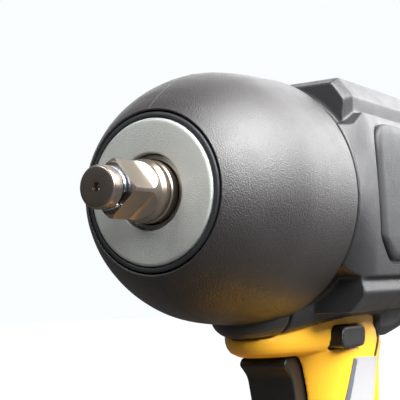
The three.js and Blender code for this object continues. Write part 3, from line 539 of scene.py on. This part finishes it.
def neck_plan(grow=0.0):
    """The neck's plan: two half ellipses that meet at the handle's middle."""
    points = []
    for reach, start in ((NECK_FRONT - NECK_MIDDLE + grow, -90), (NECK_MIDDLE - NECK_REAR + grow, 90)):
        for k in range(48):
            angle = math.radians(start + 180 * k / 48)
            points.append((NECK_MIDDLE + reach * math.cos(angle),
                           (NECK_HALF_WIDTH + grow) * math.sin(angle)))
    return points


def collar():
    """The rubber collar round the top of the neck; it draws in towards its lower edge."""
    rings = []
    for margin, radius in ((5.2, 41.5), (5.0, 43.0), (4.2, 44.6), (2.8, 45.7), (0.9, 46.2)):
        ring = prism("collar_ring", neck_plan(margin), "z", -60, -20)
        common(ring, rod("sleeve", 0, -140, radius))
        rings.append(ring)
    return hulled("collar", *rings)


def nose_boot():
    """The rubber boot, and its collar over the front of the neck."""
    curve = smooth_curve(BOOT_CURVE, 6)
    inner = [(x, r - 2.9) for x, r in BOOT_CURVE[2:6]]
    skin = turned("boot_skin", [
        (-1.9, RIM_R + GAP), (-1.1, RIM_R + GAP + 0.2, 0.3), *curve, (BOOT_REAR, 41.8, 0.9),
        (BOOT_REAR, CASE_R + GAP), (-34, CASE_R + GAP), *reversed(inner), (-3.5, RIM_R + GAP)], 192)
    behind = (-FAR, BOOT_REAR), (-ASIDE, ASIDE), (-ASIDE, 0)
    collar_piece = collar()
    cut(collar_piece, rod("case_room", 10, -60, CASE_R + GAP + 0.5), block("rear_room", *behind))
    moulded(collar_piece, 0.55, 3)
    cut(collar_piece, block("rear_room", *behind))
    place(shaded(skin), "nose_boot_skin", "housing", boot_rubber, "rubber_grey", "nose_boot")
    place(shaded(collar_piece, 50), "nose_boot_collar", "housing", boot_rubber, "rubber_grey", "nose_boot")


def boot_seam():
    """The mould's parting line: a fine raised bead along the boot's crown and keel."""
    bead = [(-0.16, -0.25), (-0.05, 0.075), (0.05, 0.075), (0.16, -0.25)]
    for name, side in (("boot_seam_top", 1), ("boot_seam_bottom", -1)):
        loops = [[(x, y, side * (r + up)) for y, up in bead] for x, r in smooth_curve(BOOT_CURVE, 6)]
        place(lofted(name, loops), name, "housing", boot_rubber, "rubber_grey")


def anvil_bushing():
    bore = SHANK_R + GAP
    obj = turned("bushing", [
        (-1.5, bore, 0.4), (-1.5, RING_BORE - GAP, 0.3), (-3.2, RING_BORE - GAP), (-3.2, 13),
        (-19, 13), (-19, bore)])
    place(shaded(obj), "bushing_ring", "housing", bronze, "bronze", "anvil_bushing")


def anvil():
    """The anvil: a turned shank with four milled flats, a centre hole, and two dogs at its rear."""
    corner, groove = 8.5, SHANK_R - 0.35
    obj = turned("anvil_turned", [
        (TIP_X, 0), (TIP_X, TIP_R, 0.9), (20.2, TIP_R, 0.25), (20.2, 4.3), (18, 4.3), (18, 7.4, 0.3),
        (17.1, corner, 0.5), (5.4, corner, 0.4), (4.2, SHANK_R, 0.4), (2.6, SHANK_R, 0.15),
        (2.2, groove), (1.4, groove), (1.0, SHANK_R, 0.15), (-21, SHANK_R), (-21, 0)], 192)
    flat, run_out, rear = SQUARE / 2, 5.0, 5.2
    cutter_outline = [(TIP_X + 1, flat), (TIP_X + 1, flat + 9), (rear, flat + 9), (rear, flat + run_out)]
    for k in range(12):
        angle = math.pi + math.pi / 2 * (k + 1) / 12
        cutter_outline.append((rear + run_out + run_out * math.cos(angle),
                               flat + run_out + run_out * math.sin(angle)))
    for quarter in range(4):
        cutter = prism("cutter", cutter_outline, "y", -12, 12)
        cutter.data.transform(Matrix.Rotation(SQUARE_TURN - math.pi / 2 + quarter * math.pi / 2, 4, "X"))
        cut(obj, cutter)
    cut(obj, turned("centre_hole", [(TIP_X + 1, 0), (TIP_X + 1, 2.1), (TIP_X, 1.35), (TIP_X - 1.6, 0.9),
                                    (TIP_X - 2.2, 0)], 48))
    hub = turned("hub", [(-20, 0), (-20, 15, 0.8), (-33, 15), (-33, 6.4), (-20.5, 6.4), (-20.5, 0)], 96)
    for middle in (90, 270):
        join(hub, sector("dog", 13, 28.5, middle, 50, -33, -20))
    join(obj, hub)
    bevelled(obj, 0.16, 2, 34)
    place(shaded(obj, 40), "anvil_forging", "anvil", warm_steel, "warm_steel", "anvil")


def sector(name, inner, outer, middle, width, rear, front, steps=16):
    """Part of a ring round the anvil's axis; its middle and width are angles in degrees."""
    angles = [math.radians(middle - width / 2 + width * k / steps) for k in range(steps + 1)]
    outline = [(outer * math.cos(a), outer * math.sin(a)) for a in angles]
    outline += [(inner * math.cos(a), inner * math.sin(a)) for a in reversed(angles)]
    return prism(name, outline, "x", rear, front)


def hog_ring():
    obj = sector("ring", 5.0, 6.32, 145, 322, 18.32, 19.88, 64)
    bevelled(obj, 0.35, 3, 50)
    place(shaded(obj, 50), "hog_ring_wire", "anvil", blued_steel, "blued_steel", "hog_ring")


# ---------------------------------------------------------------- side covers

def roof():
    """The roof block: a chamfer all round its front, and a top that climbs towards the rear."""
    front = [(-2, 18), (33.2, 18), (34.7, 31.6), (30.6, 37.5), (-2, 37.7)]
    shoulder = [(-2, 18), (35.2, 18), (36.2, 33), (31, 39.8), (-2, 40.1)]
    full = [(-2, 18), (35.2, 18), (36.2, 33), (31.6, 39.3), (19, 45.7), (-2, 46.1)]
    sections = (-62, front), (-66.5, shoulder), (-106, full), (COVER_REAR, full)
    points = [(x, y, z) for x, corners in sections for y, z in corners]
    return from_points("roof", points)


def wing():
    """The wing on the cover's side. Its front lies on the boot's round rear edge and flattens behind it."""
    front_r, root_y, run, rows = 42.0, 28, 15, 40
    loops = []
    for x in (SKIRT_FRONT, -56, -57.5, -59, -60.5, -62, -63.5, -65, -66.5, -68, -70, -80, -100, COVER_REAR):
        blend = min(1, (SKIRT_FRONT - x) / run)
        flat = 1 - (1 - blend) ** 2
        top = 22.4 + 4.6 * min(1, max(0, (-60 - x) / 6.5))
        bottom = -27.3 + 4 * max(0, 1 - blend * 1.6) ** 2
        outer = []
        for k in range(rows + 1):
            z = bottom + (top - bottom) * k / rows
            crowned = 42.2 - 0.0016 * (z - 6) ** 2 - 0.012 * max(0, z - 14) ** 2
            round_y = math.sqrt(front_r ** 2 - z * z)
            outer.append((x, round_y + (crowned - round_y) * flat, z))
        loops.append([(x, root_y, bottom), *outer, (x, root_y, top)])
    return lofted("wing", loops)


def panel_outline(inset):
    """The side panel's outline in (x, z), drawn in by a margin."""
    low, high, rear = -21.8 + inset, 24.2 - inset, -143 + inset
    radius = 7 - inset
    return [(-69.6 - inset, high, radius + 3), (-73.0 - inset, -14.4, max(1, 4 - inset)),
            (-81 - inset * 0.7, low, radius), (rear, low, radius), (rear, high, radius)]


def panel_body(name, layers):
    """A convex block of panel outlines, one for each (inset, y)."""
    points = []
    for inset, y in layers:
        points += [(x, y - 0.0008 * (z - 10) ** 2, z) for x, z in softened(panel_outline(inset), 8)]
    return from_points(name, points)


def tail():
    """The rubber tail behind the neck, over the web of the hand."""
    sides = [(TAIL_FRONT, -20), (TAIL_FRONT, TAIL_BOTTOM), (TAIL_FRONT - 12, TAIL_BOTTOM),
             (TAIL_FRONT - 24, TAIL_BOTTOM + 2), (COVER_REAR, TAIL_BOTTOM + 6), (COVER_REAR, -20)]
    points = []
    for inset, raised in ((0, 3.2), (0.8, 1.4), (2.6, 0.2), (4.5, 0)):
        for x, z in sides:
            for side in (-1, 1):
                lifted = z + raised if z < -30 else z
                points.append((min(x, TAIL_FRONT - raised * 0.6), side * (TAIL_HALF_WIDTH - inset), lifted))
    return from_points("tail", points)


def web_room(grow):
    """The yellow core inside the rubber tail."""
    half = CORE_HALF_WIDTH + grow
    return block("web_room", (CORE_REAR - grow, TAIL_FRONT + 10), (-half, half), (-80, -20))


def cover(name, side, node):
    """One dark side cover: barrel, roof, wing with its framed panel, lower rail and skirt."""
    barrel = [(-56, 0), (-56, 40.2, 1), (COVER_REAR, 40.2, 1), (COVER_REAR, 0)]
    rail = [(19, -24), (20.6, -38.6), (33.5, -38.6, 2), (39, -32.4, 1), (36.6, -20)]
    right_half = (-FAR, 60), (-ASIDE, 0.16), (-ASIDE, ASIDE)
    body = turned("cover_barrel", barrel, 160)
    skirt = cut(collar(), block("front_room", (SKIRT_FRONT, 0), (-ASIDE, ASIDE), (-ASIDE, 0)))
    join(body, prism("rail", rail, "x", COVER_REAR, -62), skirt)
    cut(body, prism("neck_room", neck_plan(0.4), "z", -ASIDE, -15))
    join(body, tail())
    cut(body, web_room(0.4))
    join(body, roof(), wing())
    cut(body, rod("bore", 0, COVER_REAR - 2, CASE_ROOM_R), block("right_half", *right_half))
    moulded(body, 0.5, 4)
    cut(body, block("right_half", *right_half),
        panel_body("pocket", [(-0.9, 40.6), (-0.9, 41.5), (-1.3, 41.9), (-2.2, 42.5), (-3.2, 44)]))
    panel = panel_body("panel", [(0, 40.7), (0, 41.6), (0.5, 42.2), (1.3, 42.6), (2.4, 42.85),
                                 (3.6, 42.95)])
    if side < 0:
        mirrored(body)
        mirrored(panel)
    place(shaded(body, 50), name, "housing", cover_plastic, "cover_grey", node)
    place(shaded(panel, 50), f"{name}_panel", "housing", panel_plastic, "cover_grey")


# ---------------------------------------------------------------- yellow shells and grips

def shell_solid():
    """Both yellow halves in one, before they are parted."""
    body = stacked("handle", HANDLE_ROWS)
    levels = [(0, NECK_BOTTOM + 5), (-0.7, NECK_BOTTOM + 3), (-1.9, NECK_BOTTOM + 1.4), (-5, NECK_BOTTOM)]
    neck = hulled("neck", *(prism("neck_level", neck_plan(grow), "z", z, -20) for grow, z in levels))
    cut(neck, rod("boot_room", 10, SKIRT_FRONT, COLLAR_R + GAP),
        rod("case_room", 10, MOTOR_FRONT, CASE_ROOM_R))
    barrel = [(MOTOR_FRONT, 0), (MOTOR_FRONT, CASE_R), (BARREL_STEP, CASE_R), (BARREL_STEP, 40, 1),
              (BARREL_REAR, 40, 0.8), (BARREL_REAR, 0)]
    tail_front, tail_bottom = TAIL_FRONT + GAP, TAIL_BOTTOM - GAP
    tail_room = [(tail_front, -20), (tail_front, tail_bottom), (-210, tail_bottom), (-210, -20)]
    join(body, neck)
    cut(body, cut(prism("tail_room", tail_room, "y", -60, 60), web_room(0)))
    join(body, turned("barrel", barrel, 160))
    cut(body, rod("case_room", 10, MOTOR_FRONT, CASE_ROOM_R),
        rod("motor_room", MOTOR_FRONT - 1, -185, 32, 128))
    wall = 3
    inner_rows = [(z, x, a - wall, b - wall, n) for z, x, a, b, n in HOLLOW_ROWS]
    trigger_room = [(-87, -53), (-40, -53), (-40, -76.8), (-87, -76.8)]
    cut(body, stacked("hollow", inner_rows, 0, 64), block("throat", (-116, -80), (-17, 17), (-60, -20)),
        prism("trigger_room", trigger_room, "y", -9.4, 9.4),
        direction_pad("button_hole", 0.4, (-40, -12)), direction_pad("button_hole", 0.4, (12, 40)),
        block("channel", (-139.5, -30), (-24.4, 24.4), (-160, -156)),
        block("channel_throat", (-139.5, -30), (-20.4, 20.4), (-170, -156)),
        block("terminal_room", (-150.4, -139), (-17.4, 17.4), (-163.5, -149)),
        block("lens_room", (-62, -40), (-9.4, 9.4), (-155.6, -148.6)),
        block("mode_room", (-75.5, -64.5), (-5.5, 5.5), (-153, -130)))
    for k in range(3):
        # Each rib starts a hair further back, so that no two of their faces lie in one plane.
        x, z = -156 - 0.01 * k, -152 - 3.2 * k
        cut(body, block("foot_rib", (x - 6, x + 1.2), (-16, 16), (z - 0.7, z + 0.7)))
    for k in range(6):
        x = -156.5 - 4.2 * k
        for z in (-12, 12):
            vent = rounded((x - 1.1, x + 1.1), (z - 7, z + 7), 1)
            cut(body, prism("vent", vent, "y", 30, 60), prism("vent", vent, "y", -60, -30))
    return body


def shells():
    """The two yellow halves, parted at the tool's middle plane."""
    whole = shell_solid()
    moulded(whole, 0.6, 3)
    for name, node, y in (("left_shell_moulding", "left_shell", (-ASIDE, 0.03)),
                          ("right_shell_moulding", "right_shell", (-0.03, ASIDE))):
        half = copied(whole, name)
        cut(half, block("other_half", (-FAR, 60), y, (-FAR, ASIDE)))
        if node == "right_shell":
            for x, z in HANDLE_SCREWS:
                cut(half, across_rod("screw_recess", x, z, (-30, -13.5), 3.4))
        place(shaded(half, 50), name, "housing", yellow_plastic, "yellow_plastic", node)
    bpy.data.objects.remove(whole)


def grip(name, side, node):
    """The ribbed rubber on one side of the handle."""
    body = stacked("grip_skin", GRIP_ROWS, 1.7)
    cut(body, stacked("grip_room", GRIP_ROWS, 0.2))
    patch = [(-112, -76.5, 4), (-150, -74.5), (-150, -136.6), (-93, -136.6, 2), (-99, -124, 8),
             (-103, -94, 8)]
    common(body, prism("patch", patch, "y", 0.2, 40))
    for k in range(9):
        z = -82 - 6 * k
        rib = stacked("rib", [(z - 0.9, -104, 60, 40, 2.5), (z + 0.9, -104, 60, 40, 2.5)], 0, 32, 1)
        cut(rib, stacked("rib_room", GRIP_ROWS, 1.15))
        keep = prism("rib_keep", [(-160, z - 3), (-108, z - 3), (-112, z + 3), (-160, z + 3)], "y", 2.5, 60)
        common(rib, keep)
        cut(body, rib)
    moulded(body, 0.42, 2)
    if side < 0:
        for x, z in HANDLE_SCREWS:
            cut(body, across_rod("screw_recess", x, z, (5, 40), 3.9))
        mirrored(body)
    place(shaded(body, 50), name, "housing", grip_rubber, "black_rubber", node)


def direction_pad(name, grow, y):
    """The leaning, rounded end of the direction button."""
    low, high = -51.2 - grow, -43.7 + grow
    rear, front = -95.5 - grow, -76 + grow
    outline = [(rear - 0.4, high, 3), (rear + 0.9, low, 3), (front + 0.4, low, 3), (front - 0.9, high, 3)]
    return prism(name, outline, "y", *y)


def inlay(name, outline, y, raised, material):
    """A thin film on the handle within an outline in (x, z)."""
    body = stacked("film", GRIP_ROWS, raised)
    cut(body, stacked("film_room", GRIP_ROWS, 0.02))
    common(body, prism("film_cut", outline, "y", *y))
    place(shaded(body), name, "housing", material, "yellow_plastic")


def label():
    """The blank rating label on the left side of the grip, with a flat grey strip along its front edge that
    is painted shade, standing for the shadow line at the label's edge.
    """
    lean = 8.5
    for name, rear, front, material in (("rating_label", -110.6, -92.6, label_film),
                                        ("rating_label_strip", -92.5, -90.2, label_edge_shade)):
        outline = [(rear, -56.4, 0.8), (front, -55, 0.8), (front + lean, -84, 0.8), (rear + lean, -84, 0.8)]
        inlay(name, outline, (5, 40), 0.28, material)


def edge_strips():
    """A narrow rubber strip on each side, from the tail down towards the label."""
    outline = [(-114.6, -48.2), (-112.6, -48.2), (-107.2, -56, 0.6), (-109.2, -56, 0.6)]
    for name, y in (("left_edge_strip", (5, 40)), ("right_edge_strip", (-40, -5))):
        inlay(name, outline, y, 0.3, grip_rubber)


# ---------------------------------------------------------------- springs

def coil(name, node, body, turns, wire, material, slot):
    """A coil spring along x in the place of a CAD spring, with an even pitch over its length."""
    low, high = (TO_FRAME.inverted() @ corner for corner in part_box(node))
    radius = (high.z - low.z) / 2 - wire
    middle = (high.z + low.z) / 2
    rear, front = low.x + wire, high.x - wire
    rise = (front - rear) / (2 * math.pi * turns * radius)
    loops = []
    steps = round(turns * 40)
    for step in range(steps + 1):
        angle = 2 * math.pi * turns * step / steps
        outward = Vector((0, math.cos(angle), math.sin(angle)))
        ahead = Vector((rise, -math.sin(angle), math.cos(angle))).normalized()
        centre = Vector((rear + (front - rear) * step / steps, 0, middle)) + outward * radius
        sideways = ahead.cross(outward)
        loops.append([centre + (outward * math.cos(turn) + sideways * math.sin(turn)) * wire
                      for turn in (2 * math.pi * k / 12 for k in range(12))])
    place(shaded(lofted(name, loops), 60), name, body, material, slot, node)
    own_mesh(bpy.data.objects[name])


# ---------------------------------------------------------------- trigger and buttons

def trigger():
    outline = [(-77, TRIGGER_TOP), (-62.5, TRIGGER_TOP, 2), (-60.6, TRIGGER_TOP - 2.2, 1.5),
               (-65.8, -60, 8), (-67.8, -68, 8), (-68.4, TRIGGER_BOTTOM, 3.5), (-77, TRIGGER_BOTTOM)]
    body = prism("trigger", outline, "y", -8.9, 8.9)
    moulded(body, 0.35, 6)
    place(shaded(body, 60), "trigger_paddle", "trigger", black_plastic, "black_plastic", "trigger")


def direction_button():
    body = block("bar", (-94, -85), (-17, 17), (-50.5, -44.5))
    join(body, direction_pad("pad", -0.05, (16, 23.4)), direction_pad("pad", -0.05, (-23.4, -16)))
    moulded(body, 0.35, 6)
    place(shaded(body, 60), "direction_selector", "direction", black_plastic, "black_plastic",
          "direction_button")


def mode_button():
    body = prism("mode", rounded((-75, -65), (-5, 5), 2), "z", -151, -144.3)
    cut(body, prism("dimple", rounded((-72.6, -67.4), (-2.6, 2.6), 1.5), "z", -144.8, -140))
    moulded(body, 0.25, 3)
    place(shaded(body, 60), "mode_key", "mode", black_plastic, "black_plastic", "mode_button")


def work_light():
    body = prism("lens", rounded((-9, 9), (-155.2, -149), 2.4), "x", -60, -52.3)
    cut(body, prism("lens_hollow", rounded((-7.6, 7.6), (-154, -150.2), 2), "x", -61, -54))
    place(shaded(body), "work_light_window", "housing", lens_clear, "lens_clear", "work_light_lens")


# ---------------------------------------------------------------- rear cap and screws

def rear_cap():
    """The rear cap: a dished face with eight air slots, a ring groove and four screw seats."""
    body = turned("rear_cap", [
        (TAIL_X, 0), (TAIL_X, 31, 5), (TAIL_X + 6.5, 38.6, 4), (CAP_FRONT, 40, 0.6), (CAP_FRONT, 37),
        (TAIL_X + 8, 35.5), (TAIL_X + 3, 29), (TAIL_X + 3, 13), (-179.5, 13), (-179.5, 9.8), (-189, 9.8),
        (-189, 0)], 160)
    cut(body, turned("groove", [(TAIL_X - 1, 15.2), (TAIL_X - 1, 16.6), (TAIL_X + 0.8, 16.6, 0.3),
                                (TAIL_X + 0.8, 15.2, 0.3)], 96))
    for side in (-1, 1):
        for k in range(4):
            y, z = side * 21.5, -12 + 8 * k
            slot = rounded((y - 5.4, y + 5.4), (z - 1.7, z + 1.7), 1.6)
            cut(body, prism("vent", slot, "x", TAIL_X - 1, TAIL_X + 9))
    for y, z in screw_places():
        seat = rod("seat", TAIL_X - 1, TAIL_X + 2.4, 3.9, 32)
        seat.data.transform(Matrix.Translation((0, y, z)))
        cut(body, seat)
    moulded(body, 0.5, 2)
    place(shaded(body, 50), "rear_cap_moulding", "housing", black_plastic, "black_plastic", "rear_cap")


def screw_places():
    """Where the rear cap's four screws sit, as (y, z)."""
    angles = [math.radians(degrees) for degrees in (60, 120, 240, 300)]
    return [(25 * math.cos(angle), 25 * math.sin(angle)) for angle in angles]


def screw(name, node, head_r, length, matrix):
    """A pan-head screw with a six-lobed recess; it starts at x = 0 and points to +X."""
    body = turned("screw", [(0, 0), (0, head_r, 0.9), (2.6, head_r, 0.2), (2.6, 1.5), (length, 1.5, 0.4),
                            (length, 0)], 48)
    star = []
    for k in range(36):
        angle = 2 * math.pi * k / 36
        r = head_r * (0.48 + 0.08 * math.cos(6 * angle))
        star.append((r * math.cos(angle), r * math.sin(angle)))
    cut(body, prism("recess", star, "x", -1, 1.6))
    body.data.transform(matrix)
    place(shaded(body), name, "housing", black_screw, "screw_black", node)


def screws():
    for k, (y, z) in enumerate(screw_places(), 1):
        matrix = Matrix.Translation((TAIL_X + 1.3, y, z))
        screw(f"rear_cap_torx_{k}", f"rear_cap_screw_{k}", 3.3, 14, matrix)
    for k, (x, z) in enumerate(HANDLE_SCREWS, 1):
        turn = Matrix.Rotation(math.radians(90), 4, "Z")
        matrix = Matrix.Translation((x, -16.5, z)) @ turn
        screw(f"handle_torx_{k}", f"handle_screw_{k}", 2.95, 27, matrix)


# ---------------------------------------------------------------- battery

def pack_plan(inset):
    """The battery's plan, drawn in by a margin."""
    half, side = 59 - inset, 38 - inset
    return rounded((PACK_MIDDLE - half, PACK_MIDDLE + half), (-side, side), 12 - inset)


def battery_lower():
    body = prism("pack_base", pack_plan(3), "z", FLOOR, FLOOR + 3, 12)
    join(body, prism("pack_wall", pack_plan(0), "z", FLOOR + 1.2, BATTERY_SEAM - GAP, 12))
    cut(body, prism("pack_room", pack_plan(2.5), "z", FLOOR + 2.5, BATTERY_SEAM + 1, 12))
    for x in (-132, -116, -84, -68):
        for y in ((36.9, 50), (-50, -36.9)):
            cut(body, prism("side_groove", rounded((x - 5, x + 5), (-206, -192), 2), "y", *y))
    moulded(body, 0.7, 3)
    place(shaded(body, 50), "battery_tub", "battery", black_plastic, "black_plastic", "battery_lower_case")


def battery_upper():
    body = prism("pack_lid", pack_plan(2.2), "z", PACK_TOP - 3, PACK_TOP, 12)
    join(body, prism("pack_wall", pack_plan(0), "z", BATTERY_SEAM, PACK_TOP - 1.2, 12))
    cut(body, prism("pack_room", pack_plan(2.5), "z", BATTERY_SEAM - 1, PACK_TOP - 2.5, 12))
    join(body, block("tower", (-138.8, -62), (-20, 20), (PACK_TOP - 1, -156.4)),
         block("rails", (-138.8, -62), (-24, 24), (-159.6, -156.4)))
    for y in (-12, -4, 4, 12):
        cut(body, block("blade_slot", (-140, -126), (y - 0.9, y + 0.9), (-161.2, -150)))
    cut(body, block("latch_room", (-54, -40), (-15, 15), (PACK_TOP - 10, -150)))
    for y in ((36.7, 50), (-50, -36.7)):
        band = [(-150, -183.5, 2.5), (-50, -183.5, 2.5), (-54, -171.5, 2.5), (-146, -171.5, 2.5)]
        cut(body, prism("side_band", band, "y", *y))
    moulded(body, 0.7, 2)
    place(shaded(body, 50), "battery_lid", "battery", black_plastic, "black_plastic", "battery_upper_case")
    for k in range(4):
        y = -9 + 6 * k
        window = prism("gauge", rounded((y - 2, y + 2), (-181, -178.4), 0.8), "x", -158.95, -157)
        place(shaded(window), f"charge_window_{k + 1}", "battery", lens_clear, "lens_clear")


def battery_release():
    body = prism("release", rounded((-53, -41.6), (-14, 14), 1.5), "z", PACK_TOP - 6, PACK_TOP - 0.3)
    for k in range(4):
        z = PACK_TOP - 1.8 - 1.15 * k
        cut(body, block("rib", (-42.2, -40), (-11, 11), (z - 0.3, z + 0.3)))
    moulded(body, 0.3, 2)
    place(shaded(body, 50), "release_key", "battery_latch", yellow_plastic, "yellow_plastic",
          "battery_release")


# ---------------------------------------------------------------- camera, light and stage

def camera():
    """A long lens at 123 degrees round and 5 degrees below the horizon, close on the nose."""
    level_part = math.cos(CAMERA_ELEVATION)
    back = Vector((level_part * math.cos(CAMERA_AZIMUTH), level_part * math.sin(CAMERA_AZIMUTH),
                   math.sin(CAMERA_ELEVATION)))
    level = (-back).cross(Vector((0, 0, 1))).normalized()
    rise = level.cross(-back)
    right = math.cos(CAMERA_ROLL) * level + math.sin(CAMERA_ROLL) * rise
    up = -math.sin(CAMERA_ROLL) * level + math.cos(CAMERA_ROLL) * rise
    data = bpy.data.cameras.new("photo_camera")
    data.sensor_width = 36
    data.lens = 90
    data.clip_start, data.clip_end = 0.02, 30
    obj = bpy.data.objects.new("photo_camera", data)
    turn = Matrix((right, up, back)).transposed().to_4x4()
    stand = TO_FRAME @ (back * CAMERA_DISTANCE + right * CAMERA_RIGHT + up * CAMERA_UP)
    obj.matrix_world = Matrix.Translation(stand) @ turn
    scene.collection.objects.link(obj)
    scene.camera = obj


def area_light(name, direction, distance, size, power):
    """A softbox that looks at the tool from a direction."""
    data = bpy.data.lights.new(name, "AREA")
    data.shape = "RECTANGLE"
    data.size, data.size_y = size
    data.energy = power
    obj = bpy.data.objects.new(name, data)
    obj.location = LIGHT_TARGET + Vector(direction).normalized() * distance
    obj.rotation_euler = (LIGHT_TARGET - obj.location).to_track_quat("-Z", "Y").to_euler()
    scene.collection.objects.link(obj)


def world():
    """A pale studio: bright behind and above the tool, dimmer in front and below."""
    scene.world = bpy.data.worlds.new("studio")
    scene.world.use_nodes = True
    nodes, links = scene.world.node_tree.nodes, scene.world.node_tree.links
    nodes.clear()
    output = nodes.new("ShaderNodeOutputWorld")
    seen = nodes.new("ShaderNodeBackground")
    seen.inputs["Color"].default_value = (0.955, 0.985, 1.0, 1)
    lit = nodes.new("ShaderNodeBackground")
    coordinates = nodes.new("ShaderNodeTexCoord")
    toward = nodes.new("ShaderNodeVectorMath")
    toward.operation = "DOT_PRODUCT"
    toward.inputs[1].default_value = Vector((-0.97, -0.15, 0.2)).normalized()
    ramp = nodes.new("ShaderNodeValToRGB")
    steps = [(0.3, 0.1), (0.6, 0.2), (0.84, 0.4), (0.94, 3.0)]
    while len(ramp.color_ramp.elements) < len(steps):
        ramp.color_ramp.elements.new(0.5)
    for element, (position, level) in zip(ramp.color_ramp.elements, steps):
        element.position = position
        element.color = (level * 0.98, level * 0.98, level, 1)
    half = nodes.new("ShaderNodeMapRange")
    half.inputs["From Min"].default_value = -1
    path = nodes.new("ShaderNodeLightPath")
    mix = nodes.new("ShaderNodeMixShader")
    links.new(coordinates.outputs["Generated"], toward.inputs[0])
    links.new(toward.outputs["Value"], half.inputs["Value"])
    links.new(half.outputs["Result"], ramp.inputs["Fac"])
    links.new(ramp.outputs["Color"], lit.inputs["Color"])
    height = nodes.new("ShaderNodeSeparateXYZ")
    above = nodes.new("ShaderNodeMapRange")
    for socket, value in (("From Min", -0.05), ("From Max", 0.18), ("To Min", 0.12), ("To Max", 1.0)):
        above.inputs[socket].default_value = value
    links.new(coordinates.outputs["Generated"], height.inputs["Vector"])
    links.new(height.outputs["Z"], above.inputs["Value"])
    links.new(above.outputs["Result"], lit.inputs["Strength"])
    links.new(path.outputs["Is Camera Ray"], mix.inputs["Fac"])
    links.new(lit.outputs["Background"], mix.inputs[1])
    links.new(seen.outputs["Background"], mix.inputs[2])
    links.new(mix.outputs["Shader"], output.inputs["Surface"])


def floor():
    """A round floor just under the battery: pale to the camera, dark to the light that it returns."""
    bm = bmesh.new()
    bmesh.ops.create_circle(bm, cap_ends=True, segments=96, radius=6)
    mesh = bpy.data.meshes.new("studio_floor")
    bm.to_mesh(mesh)
    bm.free()
    obj = bpy.data.objects.new("studio_floor", mesh)
    scene.collection.objects.link(obj)
    material, shader = node_material("studio_floor")
    nodes, links = material.node_tree.nodes, material.node_tree.links
    links.new(tinted(material, noise(material, 3, 2), (0.05, 0.048, 0.045), (0.055, 0.052, 0.05)),
              shader.inputs["Base Color"])
    shader.inputs["Roughness"].default_value = 0.9
    path = nodes.new("ShaderNodeLightPath")
    seen = between(material, path.outputs["Is Camera Ray"], 0, 0.93, 0, 1)
    links.new(seen, shader.inputs["Emission Strength"])
    shader.inputs["Emission Color"].default_value = (0.96, 0.99, 1.0, 1)
    obj.data.materials.append(material)
    obj.location.z = -0.0002


def lights():
    area_light("key_softbox", (0.08, 0.72, 0.68), 0.75, (0.72, 0.72), 35)
    area_light("rear_softbox", (-0.8, 0.47, 0.42), 1.0, (0.6, 0.6), 8)
    area_light("front_fill", (0.8, -0.3, 0.75), 1.2, (0.6, 0.6), 6.5)


camera()
finish_cad_nodes()
nose_ring()
hammer_case()
nose_boot()
boot_seam()
anvil_bushing()
anvil()
hog_ring()
cover("left_cover_moulding", 1, "left_cover")
cover("right_cover_moulding", -1, "right_cover")
shells()
grip("left_grip_rubber", 1, "left_grip")
grip("right_grip_rubber", -1, "right_grip")
label()
edge_strips()
coil("hammer_spring_coil", "hammer_spring", "camshaft", 3.5, 1.9, blued_steel, "blued_steel")
coil("trigger_spring_coil", "trigger_spring", "housing", 4, 0.6, bearing_steel, "bearing_steel")
trigger()
direction_button()
mode_button()
work_light()
rear_cap()
screws()
battery_lower()
battery_upper()
battery_release()
world()
floor()
lights()
scene.view_settings.view_transform = "Standard"
